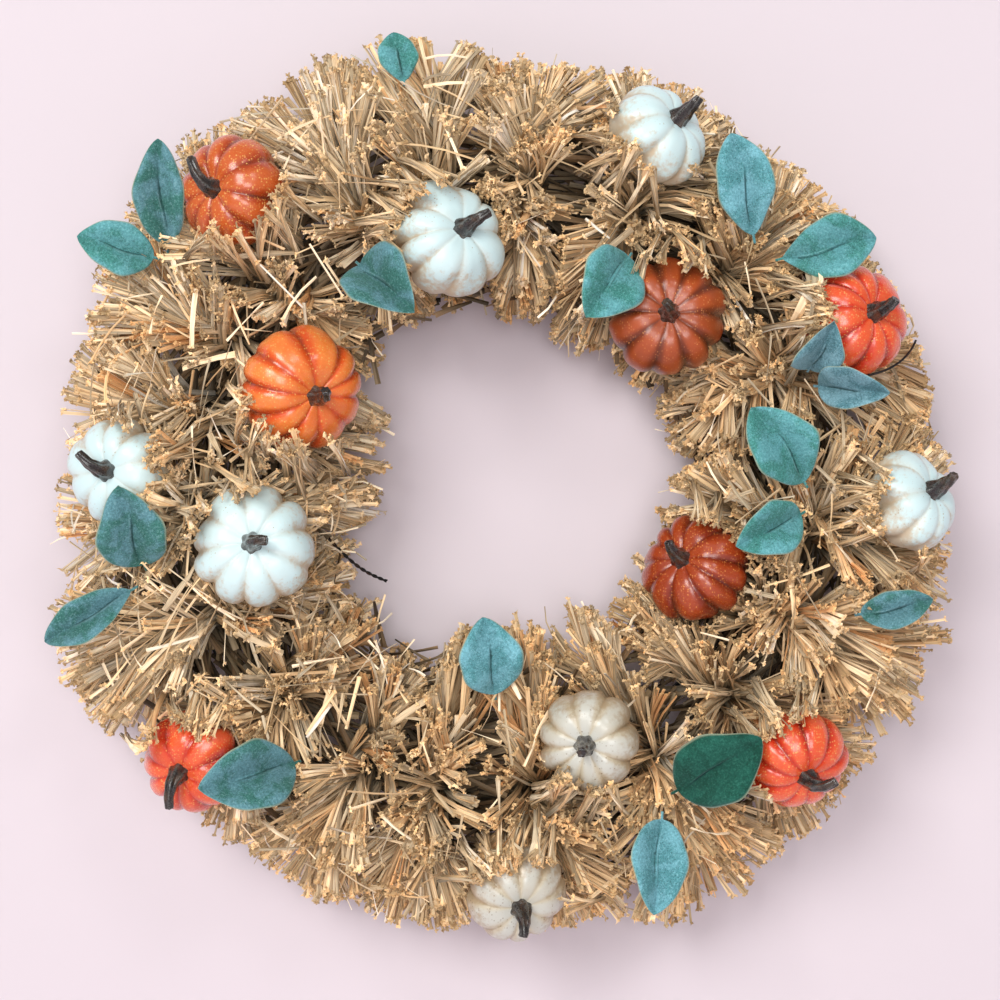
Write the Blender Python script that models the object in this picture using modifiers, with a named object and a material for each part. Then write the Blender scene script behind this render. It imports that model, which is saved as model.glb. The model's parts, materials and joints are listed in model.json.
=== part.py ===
"""Harvest door wreath: straw tufts tied on a welded wire ring, with pumpkins and leaf picks.

Metres, +Z up. The wreath hangs with its front towards -Y, and the wire ring lies in the plane y = 0.
The origin is the hang point: the inside of the hanger loop's top, where the door's hook bears.
Places on the wreath are polar: a radius from the wreath's centre, and a bearing counted from +X
towards +Z, in degrees.
"""

import math
from typing import NamedTuple

import bmesh
import bpy
from mathutils import Matrix, Vector

# Straw ring
STRAW_OUTER_RADIUS = 0.285
STRAW_FRONT = 0.086
STRAW_BACK = 0.010
STRAW_RIM_SHARE = 0.98
TUFT_COUNT = 12
TUFT_GAP = 0.0008
TUFT_WAIST = 0.93
TUFT_STATIONS = 5
TUFT_ARC_POINTS = 9
TUFT_BACK_SHARE = 0.88
TUFT_SIDE_Y = -0.008

# The hole is round, and it is a little off the centre of the outer edge.
HOLE_RADIUS = 0.098
HOLE_SHIFT = Vector((0.018, 0.0, -0.006))

# Welded wire ring
RING_OUTER_RADIUS = 0.216
RING_INNER_RADIUS = 0.170
RING_WIRE_RADIUS = 0.0016
RING_STEPS = 48
CROSS_WIRE_COUNT = 12
WIRE_SIDES = 6
WIRE_CLEARANCE = 0.0008

# Hanger loop
HANGER_WIRE_RADIUS = 0.0010
HANGER_RISE = 0.036
HANGER_HALF_WIDTH = 0.014
HANGER_EYE_CLEARANCE = 0.0016
HANGER_EYE_PITCH = 2.6
HANGER_EYE_STEPS = 10
HANGER_ARCH_STEPS = 8
RECESS_MARGIN = 0.006
RECESS_CLEARANCE = 0.0015

# Pumpkins: a share of the radius gives each height, rib and dimple
PUMPKIN_RIBS = 10
PUMPKIN_ROWS = 8
PUMPKIN_HEIGHT_SHARE = 0.74
RIB_DEPTH_SHARE = 0.06
DIMPLE_SHARE = 0.20
DIMPLE_WIDTH_SHARE = 0.36
POCKET_CLEARANCE = 0.0012
POCKET_SEGMENTS = 20
POCKET_ROWS = 10

# Stems
STEM_LENGTH = 0.024
STEM_PEG = 0.006
STEM_BASE_RADIUS = 0.0052
STEM_TIP_RADIUS = 0.0030
STEM_STEPS = 5
STEM_SIDES = 8
STEM_CLEARANCE = 0.0004
STEM_STRAIGHT = 0.010
STEM_LEAST_RISE = 0.006

# Leaf picks
LEAF_THICKNESS = 0.0008
LEAF_STALK_WIDTH = 0.0024
LEAF_STALK_SHARE = 0.10
LEAF_TIP_TAPER = 0.6
LEAF_BROADEST = 0.85
LEAF_FULLNESS = 0.8
LEAF_FOLD = 0.14
LEAF_ARCH = 0.07
LEAF_LENGTH_STEPS = 8
LEAF_FIRST_CLEAR_STEP = 4
LEAF_ROOT_SINK = 0.003
LEAF_TWIN_GAP = 0.0035
LEAF_POCKET_RADIUS = 0.0075
LEAF_CLEARANCE = 0.0025

WREATH_CENTRE = Vector((0.0, 0.0, -(RING_OUTER_RADIUS + HANGER_RISE)))
TOWARDS_VIEWER = Vector((0.0, -1.0, 0.0))


class Pumpkin(NamedTuple):
    """A pumpkin's place, size and lean. A lean tips its stem from the viewer towards a bearing."""

    name: str
    slot: str
    radius_m: float
    bearing: float
    diameter: float
    lean: float
    lean_bearing: float
    stem_reach: float
    stem_bearing: float


class Leaf(NamedTuple):
    """A leaf's root place, and the way, length and width of it. Lift tips it up from the wall's plane."""

    pick: int
    radius_m: float
    bearing: float
    direction: float
    length: float
    width: float
    lift: float
    rise: float


PUMPKINS = (
    Pumpkin("pumpkin_orange_1", "pumpkin_orange", 0.2455, 132.4, 0.068, 30, 180, 0.022, 128),
    Pumpkin("pumpkin_orange_2", "pumpkin_orange", 0.140, 154.0, 0.076, 29, 330, 0.012, 9),
    Pumpkin("pumpkin_orange_3", "pumpkin_orange", 0.143, 46.4, 0.072, 5, 63, 0.008, 132),
    Pumpkin("pumpkin_orange_4", "pumpkin_orange", 0.234, 25.6, 0.068, 29, 22, 0.015, 31),
    Pumpkin("pumpkin_orange_5", "pumpkin_orange", 0.131, 336.9, 0.068, 39, 148, 0.016, 127),
    Pumpkin("pumpkin_orange_6", "pumpkin_orange", 0.241, 317.2, 0.064, 33, 299, 0.016, 353),
    Pumpkin("pumpkin_orange_7", "pumpkin_orange", 0.254, 221.4, 0.064, 25, 214, 0.022, 254),
    Pumpkin("pumpkin_white_1", "pumpkin_white", 0.154, 103.4, 0.070, 31, 24, 0.020, 30),
    Pumpkin("pumpkin_white_2", "pumpkin_white", 0.2315, 67.0, 0.064, 50, 36, 0.020, 40),
    Pumpkin("pumpkin_white_3", "pumpkin_white", 0.2345, 177.4, 0.064, 17, 180, 0.018, 146),
    Pumpkin("pumpkin_white_4", "pumpkin_white", 0.156, 193.4, 0.074, 10, 90, 0.012, 3),
    Pumpkin("pumpkin_white_5", "pumpkin_white", 0.246, 357.7, 0.062, 45, 33, 0.018, 41),
    Pumpkin("pumpkin_white_6", "pumpkin_white", 0.162, 288.7, 0.062, 12, 196, 0.003, 230),
    Pumpkin("pumpkin_white_7", "pumpkin_white", 0.248, 271.3, 0.062, 20, 300, 0.016, 277),
)

LEAVES = (
    Leaf(1, 0.252, 145.8, 93, 0.070, 0.032, 14, 0.0),
    Leaf(1, 0.253, 146.2, 166, 0.052, 0.034, 20, 0.0),
    Leaf(2, 0.257, 104.0, 103, 0.034, 0.026, 0, 0.0),
    Leaf(3, 0.164, 123.4, 318, 0.056, 0.042, 31, 0.004),
    Leaf(4, 0.162, 61.6, 235, 0.057, 0.042, 30, 0.004),
    Leaf(5, 0.211, 43.6, 104, 0.068, 0.036, 16, 0.0),
    Leaf(5, 0.212, 40.4, 11, 0.062, 0.039, 22, 0.0),
    Leaf(6, 0.194, 20.4, 68, 0.044, 0.030, 50, 0.004),
    Leaf(6, 0.194, 18.6, 352, 0.050, 0.026, 36, 0.004),
    Leaf(7, 0.186, 359.2, 127, 0.062, 0.042, 18, 0.003),
    Leaf(7, 0.186, 355.8, 205, 0.052, 0.034, 24, 0.003),
    Leaf(8, 0.227, 340.0, 12, 0.048, 0.024, 10, 0.0),
    Leaf(9, 0.225, 193.8, 103, 0.060, 0.044, 30, 0.0),
    Leaf(9, 0.229, 194.8, 211, 0.066, 0.028, 4, 0.002),
    Leaf(10, 0.208, 233.2, 192, 0.068, 0.042, 34, 0.0),
    Leaf(11, 0.131, 267.5, 98, 0.056, 0.041, 22, 0.0),
    Leaf(12, 0.212, 297.6, 35, 0.068, 0.046, 24, 0.002),
    Leaf(12, 0.216, 296.4, 264, 0.062, 0.036, 16, 0.002),
)

# Colours, roughness and metallic value of each material
FINISHES = {
    "straw": ((0.62, 0.42, 0.20), 0.85, 0.0),
    "ring_wire": ((0.05, 0.05, 0.05), 0.45, 0.9),
    "pumpkin_orange": ((0.78, 0.16, 0.03), 0.42, 0.0),
    "pumpkin_white": ((0.80, 0.78, 0.70), 0.50, 0.0),
    "pumpkin_stem": ((0.05, 0.04, 0.03), 0.40, 0.0),
    "leaf_fabric": ((0.13, 0.30, 0.28), 0.90, 0.0),
}


def clear_scene():
    """Removes every object of the scene that the script starts in."""
    for obj in list(bpy.data.objects):
        bpy.data.objects.remove(obj)


def new_collection(name, hidden=False):
    """A collection in the scene. A hidden one holds cutters."""
    collection = bpy.data.collections.new(name)
    collection.hide_render = hidden
    bpy.context.scene.collection.children.link(collection)
    return collection


def new_material(name):
    """A Principled material of the named finish."""
    colour, roughness, metallic = FINISHES[name]
    material = bpy.data.materials.new(name)
    material.use_nodes = True
    shader = material.node_tree.nodes["Principled BSDF"]
    shader.inputs["Base Color"].default_value = (*colour, 1.0)
    shader.inputs["Roughness"].default_value = roughness
    shader.inputs["Metallic"].default_value = metallic
    material.diffuse_color = (*colour, 1.0)
    return material


def new_object(name, mesh, collection, slot=None):
    """An object of this mesh, in this collection. Without a slot it is a cutter."""
    obj = bpy.data.objects.new(name, mesh)
    collection.objects.link(obj)
    if slot:
        obj.data.materials.clear()
        obj.data.materials.append(bpy.data.materials.get(slot) or new_material(slot))
    else:
        obj.hide_render = True
        obj.display_type = "WIRE"
    return obj


def mesh_from(bm, name, smooth=True):
    """Ends a bmesh as a mesh whose faces point out."""
    bmesh.ops.recalc_face_normals(bm, faces=bm.faces)
    mesh = bpy.data.meshes.new(name)
    bm.to_mesh(mesh)
    bm.free()
    if smooth:
        mesh.shade_smooth()
    return mesh


def unit(bearing):
    """The unit vector of a bearing in the wall's plane."""
    angle = math.radians(bearing)
    return Vector((math.cos(angle), 0.0, math.sin(angle)))


def on_wreath(radius, bearing, depth=0.0):
    """The point at this radius and bearing from the wreath's centre. Depth is its y."""
    return WREATH_CENTRE + unit(bearing) * radius + Vector((0.0, depth, 0.0))


def straw_inner_radius(bearing):
    """Where a ray from the wreath's centre leaves the shifted round hole."""
    ray = unit(bearing)
    along = HOLE_SHIFT.dot(ray)
    across = (HOLE_SHIFT - ray * along).length
    return along + math.sqrt(HOLE_RADIUS**2 - across**2)


def straw_middle(bearing):
    """(middle radius, half width) of the straw at this bearing."""
    inner = straw_inner_radius(bearing)
    return (STRAW_OUTER_RADIUS + inner) / 2, (STRAW_OUTER_RADIUS - inner) / 2


def straw_front(radius, bearing):
    """The depth (y) of the straw's front surface at this place."""
    middle, half = straw_middle(bearing)
    share = min(abs(radius - middle) / half, STRAW_RIM_SHARE)
    return TUFT_SIDE_Y - (STRAW_FRONT + TUFT_SIDE_Y) * math.sqrt(1 - share**2)


def tuft_section(bearing, waist):
    """A D-shaped section at one bearing: an arc over the front, and a flat back."""
    middle, half = straw_middle(bearing)
    half *= waist
    points = []
    for i in range(TUFT_ARC_POINTS):
        turn = math.pi * i / (TUFT_ARC_POINTS - 1)
        depth = TUFT_SIDE_Y - (STRAW_FRONT * waist + TUFT_SIDE_Y) * math.sin(turn)
        points.append(on_wreath(middle + half * math.cos(turn), bearing, depth))
    for side in (-1, 1):
        points.append(on_wreath(middle + side * half * TUFT_BACK_SHARE, bearing, STRAW_BACK))
    return points


def tuft_mesh(index):
    """A tuft lofted through its sections, fullest in the middle and drawn in at both ends."""
    sector = 360 / TUFT_COUNT
    slack = math.degrees(TUFT_GAP / 2 / HOLE_RADIUS)
    bm = bmesh.new()
    rings = []
    for i in range(TUFT_STATIONS):
        share = 2 * i / (TUFT_STATIONS - 1) - 1
        bearing = index * sector + share * (sector / 2 - slack)
        waist = 1 - (1 - TUFT_WAIST) * share**2
        rings.append([bm.verts.new(point) for point in tuft_section(bearing, waist)])
    for ring, after in zip(rings, rings[1:]):
        for i in range(len(ring)):
            j = (i + 1) % len(ring)
            bm.faces.new((ring[i], ring[j], after[j], after[i]))
    bm.faces.new(rings[0])
    bm.faces.new(rings[-1])
    return mesh_from(bm, f"raffia_tuft_{index + 1:02d}", smooth=False)


def wire_rings(name, collection, wire_radius):
    """The two rings and the cross wires as separate closed meshes, this thick."""
    pieces = []
    for radius in (RING_OUTER_RADIUS, RING_INNER_RADIUS):
        bpy.ops.mesh.primitive_torus_add(
            major_segments=RING_STEPS,
            minor_segments=WIRE_SIDES,
            major_radius=radius,
            minor_radius=wire_radius,
            location=WREATH_CENTRE,
            rotation=(math.pi / 2, 0, 0),
        )
        pieces.append(adopt(bpy.context.object, f"{name}_ring_{len(pieces)}", collection))
    length = RING_OUTER_RADIUS - RING_INNER_RADIUS
    middle = (RING_OUTER_RADIUS + RING_INNER_RADIUS) / 2
    for i in range(CROSS_WIRE_COUNT):
        bearing = (i + 0.5) * 360 / CROSS_WIRE_COUNT
        bm = bmesh.new()
        bmesh.ops.create_cone(
            bm,
            cap_ends=True,
            segments=WIRE_SIDES,
            radius1=wire_radius,
            radius2=wire_radius,
            depth=length,
        )
        wire = new_object(f"{name}_cross_{i}", mesh_from(bm, name), collection)
        turn = Vector((0, 0, 1)).rotation_difference(unit(bearing)).to_matrix().to_4x4()
        wire.matrix_world = Matrix.Translation(on_wreath(middle, bearing)) @ turn
        pieces.append(wire)
    return pieces


def adopt(obj, name, collection):
    """Moves an object that an operator made into a collection of cutters."""
    for owner in list(obj.users_collection):
        owner.objects.unlink(obj)
    collection.objects.link(obj)
    obj.name = name
    obj.hide_render = True
    obj.display_type = "WIRE"
    return obj


def boolean(obj, other, operation):
    """Adds an exact Boolean with another object."""
    modifier = obj.modifiers.new(operation.lower(), "BOOLEAN")
    modifier.operation = operation
    modifier.object = other
    modifier.solver = "EXACT"


def evaluated_mesh(obj, name):
    """A new mesh of the object as its modifiers leave it, in world places."""
    graph = bpy.context.evaluated_depsgraph_get()
    mesh = bpy.data.meshes.new_from_object(obj.evaluated_get(graph))
    mesh.transform(obj.matrix_world)
    mesh.name = name
    return mesh


def joined_rings(name, wire_radius, helpers):
    """One mesh of the wire ring at this wire radius, its pieces welded by Boolean unions."""
    pieces = wire_rings(name, helpers, wire_radius)
    whole = pieces[0]
    for piece in pieces[2:]:
        boolean(whole, piece, "UNION")
    boolean(whole, pieces[1], "UNION")
    bpy.context.view_layer.update()
    return evaluated_mesh(whole, name)


def make_wire_frame(parts, helpers):
    """The welded ring: two concentric wires and their cross wires."""
    mesh = joined_rings("wire_frame", RING_WIRE_RADIUS, helpers)
    return new_object("wire_frame", mesh, parts, "ring_wire")


def tube_object(name, points, radii, sides, parts, slot):
    """A closed tube through these points, with its own radius at each."""
    curve = bpy.data.curves.new(name, "CURVE")
    curve.dimensions = "3D"
    curve.bevel_depth = 1.0
    curve.bevel_resolution = sides // 2 - 2
    curve.use_fill_caps = True
    spline = curve.splines.new("POLY")
    spline.points.add(len(points) - 1)
    for point, place, radius in zip(spline.points, points, radii):
        point.co = (*place, 1.0)
        point.radius = radius
    return new_object(name, curve, parts, slot)


def eye_radius():
    """The radius of an eye's centreline, which turns loosely on the ring wire."""
    return RING_WIRE_RADIUS + HANGER_EYE_CLEARANCE + HANGER_WIRE_RADIUS


def hanger_points():
    """Half of the hanger's centreline: an eye round the ring wire, a leg, and a quarter of the arch."""
    eye = eye_radius()
    pitch = HANGER_EYE_PITCH * HANGER_WIRE_RADIUS
    points = []
    for i in range(HANGER_EYE_STEPS + 1):
        share = i / HANGER_EYE_STEPS
        turn = 2 * math.pi * (share - 0.25)
        place = Vector((-HANGER_HALF_WIDTH - pitch * (1 - share), -math.cos(turn) * eye, 0))
        place.z = -math.sin(turn) * eye - HANGER_RISE
        points.append(place)
    top = HANGER_WIRE_RADIUS
    for i in range(HANGER_ARCH_STEPS):
        turn = math.pi / 2 * i / (HANGER_ARCH_STEPS - 1)
        x = -HANGER_HALF_WIDTH * math.cos(turn)
        z = top - HANGER_HALF_WIDTH * (1 - math.sin(turn))
        points.append(Vector((x, 0.0, z)))
    return points


def make_hanger(parts):
    """The wire loop that the door's hook holds. Its two eyes turn on the ring's outer wire."""
    half = hanger_points()
    mirrored = [Vector((-p.x, p.y, p.z)) for p in reversed(half[:-1])]
    points = half + mirrored
    radii = [HANGER_WIRE_RADIUS] * len(points)
    hanger = tube_object("hanger_loop", points, radii, WIRE_SIDES, parts, "ring_wire")
    pivot = Vector((0.0, 0.0, -HANGER_RISE))
    for point in hanger.data.splines[0].points:
        point.co = (*(Vector(point.co[:3]) - pivot), 1.0)
    hanger.location = pivot
    return hanger


def recess_cutter(helpers):
    """The space behind the straw in which the hanger loop stands, lies back and takes a hook."""
    eye = eye_radius() + HANGER_WIRE_RADIUS + RECESS_CLEARANCE
    half_width = HANGER_HALF_WIDTH + RECESS_MARGIN
    low = -HANGER_RISE - eye
    high = HANGER_WIRE_RADIUS * 2 + RECESS_MARGIN
    front, back = -eye, STRAW_BACK * 2
    bm = bmesh.new()
    bmesh.ops.create_cube(bm, size=1.0)
    size = Vector((2 * half_width, back - front, high - low))
    bmesh.ops.scale(bm, vec=size, verts=bm.verts)
    bmesh.ops.translate(bm, vec=(0, (front + back) / 2, (high + low) / 2), verts=bm.verts)
    return new_object("hanger_recess_cutter", mesh_from(bm, "hanger_recess", False), helpers)


def pumpkin_turn(pumpkin):
    """The direction of a pumpkin's stem."""
    lean = math.radians(pumpkin.lean)
    return unit(pumpkin.lean_bearing) * math.sin(lean) + TOWARDS_VIEWER * math.cos(lean)


def pumpkin_matrix(pumpkin):
    """Where a pumpkin sits: half of it sunk in the straw's front, with its stem along local +Z."""
    depth = straw_front(pumpkin.radius_m, pumpkin.bearing)
    place = on_wreath(pumpkin.radius_m, pumpkin.bearing, depth)
    turn = Vector((0, 0, 1)).rotation_difference(pumpkin_turn(pumpkin))
    return Matrix.Translation(place) @ turn.to_matrix().to_4x4()


def stem_seat(radius):
    """The height of a pumpkin's surface at the middle of its top dimple."""
    return radius * (PUMPKIN_HEIGHT_SHARE - DIMPLE_SHARE)


def ribbed(direction, radius):
    """A point of the pumpkin: a flattened ball with ribs, dimpled at both poles."""
    flat = math.hypot(direction.x, direction.y)
    angle = math.atan2(direction.y, direction.x)
    groove = 1 - RIB_DEPTH_SHARE * (1 - math.cos(PUMPKIN_RIBS * angle)) * flat
    dimple = DIMPLE_SHARE * math.exp(-((flat / DIMPLE_WIDTH_SHARE) ** 2))
    height = direction.z * PUMPKIN_HEIGHT_SHARE - math.copysign(dimple, direction.z)
    return Vector((direction.x * groove, direction.y * groove, height)) * radius


def pumpkin_mesh(name, radius):
    """A ribbed pumpkin about its own middle."""
    bm = bmesh.new()
    bmesh.ops.create_uvsphere(bm, u_segments=2 * PUMPKIN_RIBS, v_segments=PUMPKIN_ROWS, radius=1)
    for vert in bm.verts:
        vert.co = ribbed(vert.co.normalized(), radius)
    return mesh_from(bm, name)


def stem_points(pumpkin):
    """The stem's centreline: a peg in the pumpkin, then a curve that bends towards its bearing."""
    matrix = pumpkin_matrix(pumpkin)
    axis = pumpkin_turn(pumpkin)
    base = matrix @ Vector((0, 0, stem_seat(pumpkin.diameter / 2)))
    rise = math.sqrt(max(STEM_LENGTH**2 - pumpkin.stem_reach**2, STEM_LEAST_RISE**2))
    tip = base + unit(pumpkin.stem_bearing) * pumpkin.stem_reach + TOWARDS_VIEWER * rise
    bend = base + axis * STEM_STRAIGHT
    points = [base - axis * STEM_PEG]
    for i in range(STEM_STEPS):
        t = i / (STEM_STEPS - 1)
        points.append(base * (1 - t) ** 2 + bend * 2 * t * (1 - t) + tip * t**2)
    return points


def make_stem(pumpkin, parts):
    """A bent stem, thickest where it leaves the pumpkin."""
    points = stem_points(pumpkin)
    count = len(points) - 1
    taper = (STEM_BASE_RADIUS - STEM_TIP_RADIUS) / count
    radii = [STEM_BASE_RADIUS - taper * i for i in range(count + 1)]
    name = f"{pumpkin.name}_stem"
    return tube_object(name, points, radii, STEM_SIDES, parts, "pumpkin_stem")


def stem_socket(pumpkin, helpers):
    """The hole in a pumpkin's top that takes the stem's peg."""
    radius = (STEM_BASE_RADIUS + STEM_CLEARANCE) / math.cos(math.pi / POCKET_SEGMENTS)
    depth = STEM_PEG + STEM_CLEARANCE
    above = STEM_STRAIGHT
    bm = bmesh.new()
    bmesh.ops.create_cone(
        bm,
        cap_ends=True,
        segments=POCKET_SEGMENTS,
        radius1=radius,
        radius2=radius,
        depth=depth + above,
    )
    seat = stem_seat(pumpkin.diameter / 2)
    bmesh.ops.translate(bm, vec=(0, 0, seat + (above - depth) / 2), verts=bm.verts)
    cutter = new_object(f"{pumpkin.name}_socket_cutter", mesh_from(bm, pumpkin.name), helpers)
    cutter.matrix_world = pumpkin_matrix(pumpkin)
    return cutter


def pocket_cutter(pumpkin, helpers):
    """The round nest in the straw that a pumpkin is glued into."""
    radius = pumpkin.diameter / 2
    widest = (radius + POCKET_CLEARANCE) / math.cos(math.pi / POCKET_SEGMENTS)
    tallest = radius * PUMPKIN_HEIGHT_SHARE + POCKET_CLEARANCE
    bm = bmesh.new()
    bmesh.ops.create_uvsphere(bm, u_segments=POCKET_SEGMENTS, v_segments=POCKET_ROWS, radius=1)
    bmesh.ops.scale(bm, vec=(widest, widest, tallest), verts=bm.verts)
    cutter = new_object(f"{pumpkin.name}_nest_cutter", mesh_from(bm, pumpkin.name), helpers)
    cutter.matrix_world = pumpkin_matrix(pumpkin)
    return cutter


def make_pumpkin(pumpkin, parts, helpers):
    """A pumpkin with the socket for its stem."""
    mesh = pumpkin_mesh(pumpkin.name, pumpkin.diameter / 2)
    body = new_object(pumpkin.name, mesh, parts, pumpkin.slot)
    body.matrix_world = pumpkin_matrix(pumpkin)
    boolean(body, stem_socket(pumpkin, helpers), "DIFFERENCE")
    return body


def pick_root(pick):
    """Where a pick's wire comes out of the straw, which is the joint that it bends at."""
    roots = [leaf_root(leaf) for leaf in LEAVES if leaf.pick == pick]
    return sum(roots, Vector()) / len(roots)


def leaf_root(leaf):
    """The place of a leaf's stalk end, a little below the straw's front surface."""
    depth = straw_front(leaf.radius_m, leaf.bearing) + LEAF_ROOT_SINK - leaf.rise
    return on_wreath(leaf.radius_m, leaf.bearing, depth)


def leaf_half_width(share, width):
    """Half the leaf's width at this share of its length: a stalk, then a pointed oval."""
    stalk = LEAF_STALK_WIDTH / 2
    if share <= LEAF_STALK_SHARE:
        return stalk
    blade = (share - LEAF_STALK_SHARE) / (1 - LEAF_STALK_SHARE)
    oval = math.sin(math.pi * blade**LEAF_BROADEST) ** LEAF_FULLNESS
    return stalk * (1 - LEAF_TIP_TAPER * blade) + (width / 2 - stalk) * oval


def leaf_mesh(name, leaf):
    """A leaf along local +X with its face up, folded along its midrib and arched lengthwise."""
    bm = bmesh.new()
    bmesh.ops.create_grid(bm, x_segments=LEAF_LENGTH_STEPS, y_segments=2, size=0.5)
    for vert in bm.verts:
        share = vert.co.x + 0.5
        half = leaf_half_width(share, leaf.width)
        side = vert.co.y * 2
        arch = LEAF_ARCH * leaf.length * math.sin(math.pi * share)
        vert.co = Vector((share * leaf.length, side * half, arch + LEAF_FOLD * abs(side) * half))
    mesh = mesh_from(bm, name)
    if mesh.polygons[0].normal.z < 0:
        mesh.flip_normals()
    return mesh


def pumpkin_front(pumpkin, place):
    """The depth of a pumpkin's front, as a flattened ball, at this place. None beside it."""
    radius = pumpkin.diameter / 2
    axis = pumpkin_turn(pumpkin)
    squash = PUMPKIN_HEIGHT_SHARE**-2 - 1
    start = place - pumpkin_matrix(pumpkin).translation
    start.y = 0.0
    a = 1 + squash * axis.y**2
    b = squash * start.dot(axis) * axis.y
    c = start.length_squared + squash * start.dot(axis) ** 2 - radius**2
    if b**2 < a * c:
        return None
    return pumpkin_matrix(pumpkin).translation.y - (b + math.sqrt(b**2 - a * c)) / a


def front_below(place):
    """The depth of the straw's or a pumpkin's front behind this place. None outside the wreath."""
    flat = place - WREATH_CENTRE
    radius = math.hypot(flat.x, flat.z)
    bearing = math.degrees(math.atan2(flat.z, flat.x))
    fronts = [pumpkin_front(pumpkin, place) for pumpkin in PUMPKINS]
    if straw_inner_radius(bearing) < radius < STRAW_OUTER_RADIUS:
        fronts.append(straw_front(radius, bearing))
    return min((front for front in fronts if front is not None), default=None)


def leaf_lift(leaf):
    """The leaf's stated lift, or more where the straw or a pumpkin would reach the blade."""
    root = leaf_root(leaf)
    along = unit(leaf.direction)
    across = along.cross(TOWARDS_VIEWER)
    lift = math.radians(leaf.lift)
    for step in range(LEAF_FIRST_CLEAR_STEP, LEAF_LENGTH_STEPS + 1):
        share = step / LEAF_LENGTH_STEPS
        reach = leaf.length * share
        half = leaf_half_width(share, leaf.width)
        arch = LEAF_ARCH * leaf.length * math.sin(math.pi * share)
        for side in (-1, 0, 1):
            reached = math.cos(lift) * reach
            front = front_below(root + along * reached + across * half * side)
            if front is None:
                continue
            needed = root.y - front + LEAF_CLEARANCE - arch - LEAF_FOLD * half * abs(side)
            lift = max(lift, math.asin(min(max(needed / reach, 0.0), 1.0)))
    return lift


def leaf_frame(leaf):
    """The turn that lays a leaf along its direction, with its face towards the viewer."""
    lift = leaf_lift(leaf)
    flat = unit(leaf.direction)
    along = flat * math.cos(lift) + TOWARDS_VIEWER * math.sin(lift)
    face = TOWARDS_VIEWER * math.cos(lift) - flat * math.sin(lift)
    across = face.cross(along)
    return Matrix((along, across, face)).transposed()


def make_leaf(number, leaf, parts):
    """A fabric leaf with its wired stalk. Its origin is on its pick's joint."""
    name = f"leaf_{number:02d}"
    obj = new_object(name, leaf_mesh(name, leaf), parts, "leaf_fabric")
    pivot = pick_root(leaf.pick)
    twins = [other for other in LEAVES if other.pick == leaf.pick]
    start = leaf_root(leaf) - pivot
    if len(twins) > 1:
        start += unit(leaf.direction) * LEAF_TWIN_GAP
    obj.data.transform(Matrix.Translation(start) @ leaf_frame(leaf).to_4x4())
    obj.location = pivot
    solid = obj.modifiers.new("thickness", "SOLIDIFY")
    solid.thickness = LEAF_THICKNESS
    solid.offset = 0.0
    return obj


def leaf_pocket(pick, helpers):
    """The parted straw round a pick's wire, which leaves it room to bend."""
    bm = bmesh.new()
    bmesh.ops.create_uvsphere(bm, u_segments=WIRE_SIDES * 2, v_segments=WIRE_SIDES, radius=1)
    bmesh.ops.scale(bm, vec=[LEAF_POCKET_RADIUS] * 3, verts=bm.verts)
    cutter = new_object(f"leaf_pick_{pick:02d}_cutter", mesh_from(bm, "leaf_pocket"), helpers)
    cutter.location = pick_root(pick)
    return cutter


def near_tuft(index, place, reach):
    """Whether a cutter of this reach about this place can touch the tuft."""
    flat = place - WREATH_CENTRE
    bearing = math.degrees(math.atan2(flat.z, flat.x))
    sector = 360 / TUFT_COUNT
    away = abs((bearing - index * sector + 180) % 360 - 180)
    spread = math.degrees(math.asin(min(reach / math.hypot(flat.x, flat.z), 1)))
    return away < sector / 2 + spread


def make_tufts(parts, helpers, nests, pockets):
    """The straw tufts, each cut clear of the ring, the hanger, the pumpkins and the leaf wires."""
    channel_mesh = joined_rings("channel", RING_WIRE_RADIUS + WIRE_CLEARANCE, helpers)
    channel = new_object("wire_channel_cutter", channel_mesh, helpers)
    recess = recess_cutter(helpers)
    for index in range(TUFT_COUNT):
        tuft = new_object(f"raffia_tuft_{index + 1:02d}", tuft_mesh(index), parts, "straw")
        boolean(tuft, channel, "DIFFERENCE")
        if near_tuft(index, Vector(), HANGER_HALF_WIDTH + RECESS_MARGIN):
            boolean(tuft, recess, "DIFFERENCE")
        for cutter, reach in nests + pockets:
            if near_tuft(index, cutter.matrix_world.translation, reach):
                boolean(tuft, cutter, "DIFFERENCE")


def main():
    """Builds the wreath from its ring outwards."""
    clear_scene()
    parts = new_collection("harvest_door_wreath")
    helpers = new_collection("cutters")
    make_wire_frame(parts, helpers)
    make_hanger(parts)
    nests = []
    for pumpkin in PUMPKINS:
        make_pumpkin(pumpkin, parts, helpers)
        make_stem(pumpkin, parts)
        nests.append((pocket_cutter(pumpkin, helpers), pumpkin.diameter / 2 + POCKET_CLEARANCE))
    for number, leaf in enumerate(LEAVES, 1):
        make_leaf(number, leaf, parts)
    picks = sorted({leaf.pick for leaf in LEAVES})
    pockets = [(leaf_pocket(pick, helpers), LEAF_POCKET_RADIUS) for pick in picks]
    bpy.context.view_layer.update()
    make_tufts(parts, helpers, nests, pockets)


main()
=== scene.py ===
"""The look of a harvest door wreath: straw, little pumpkins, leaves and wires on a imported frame."""

import json
import logging
import math
from dataclasses import dataclass, field
from enum import Enum
from functools import reduce

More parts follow.
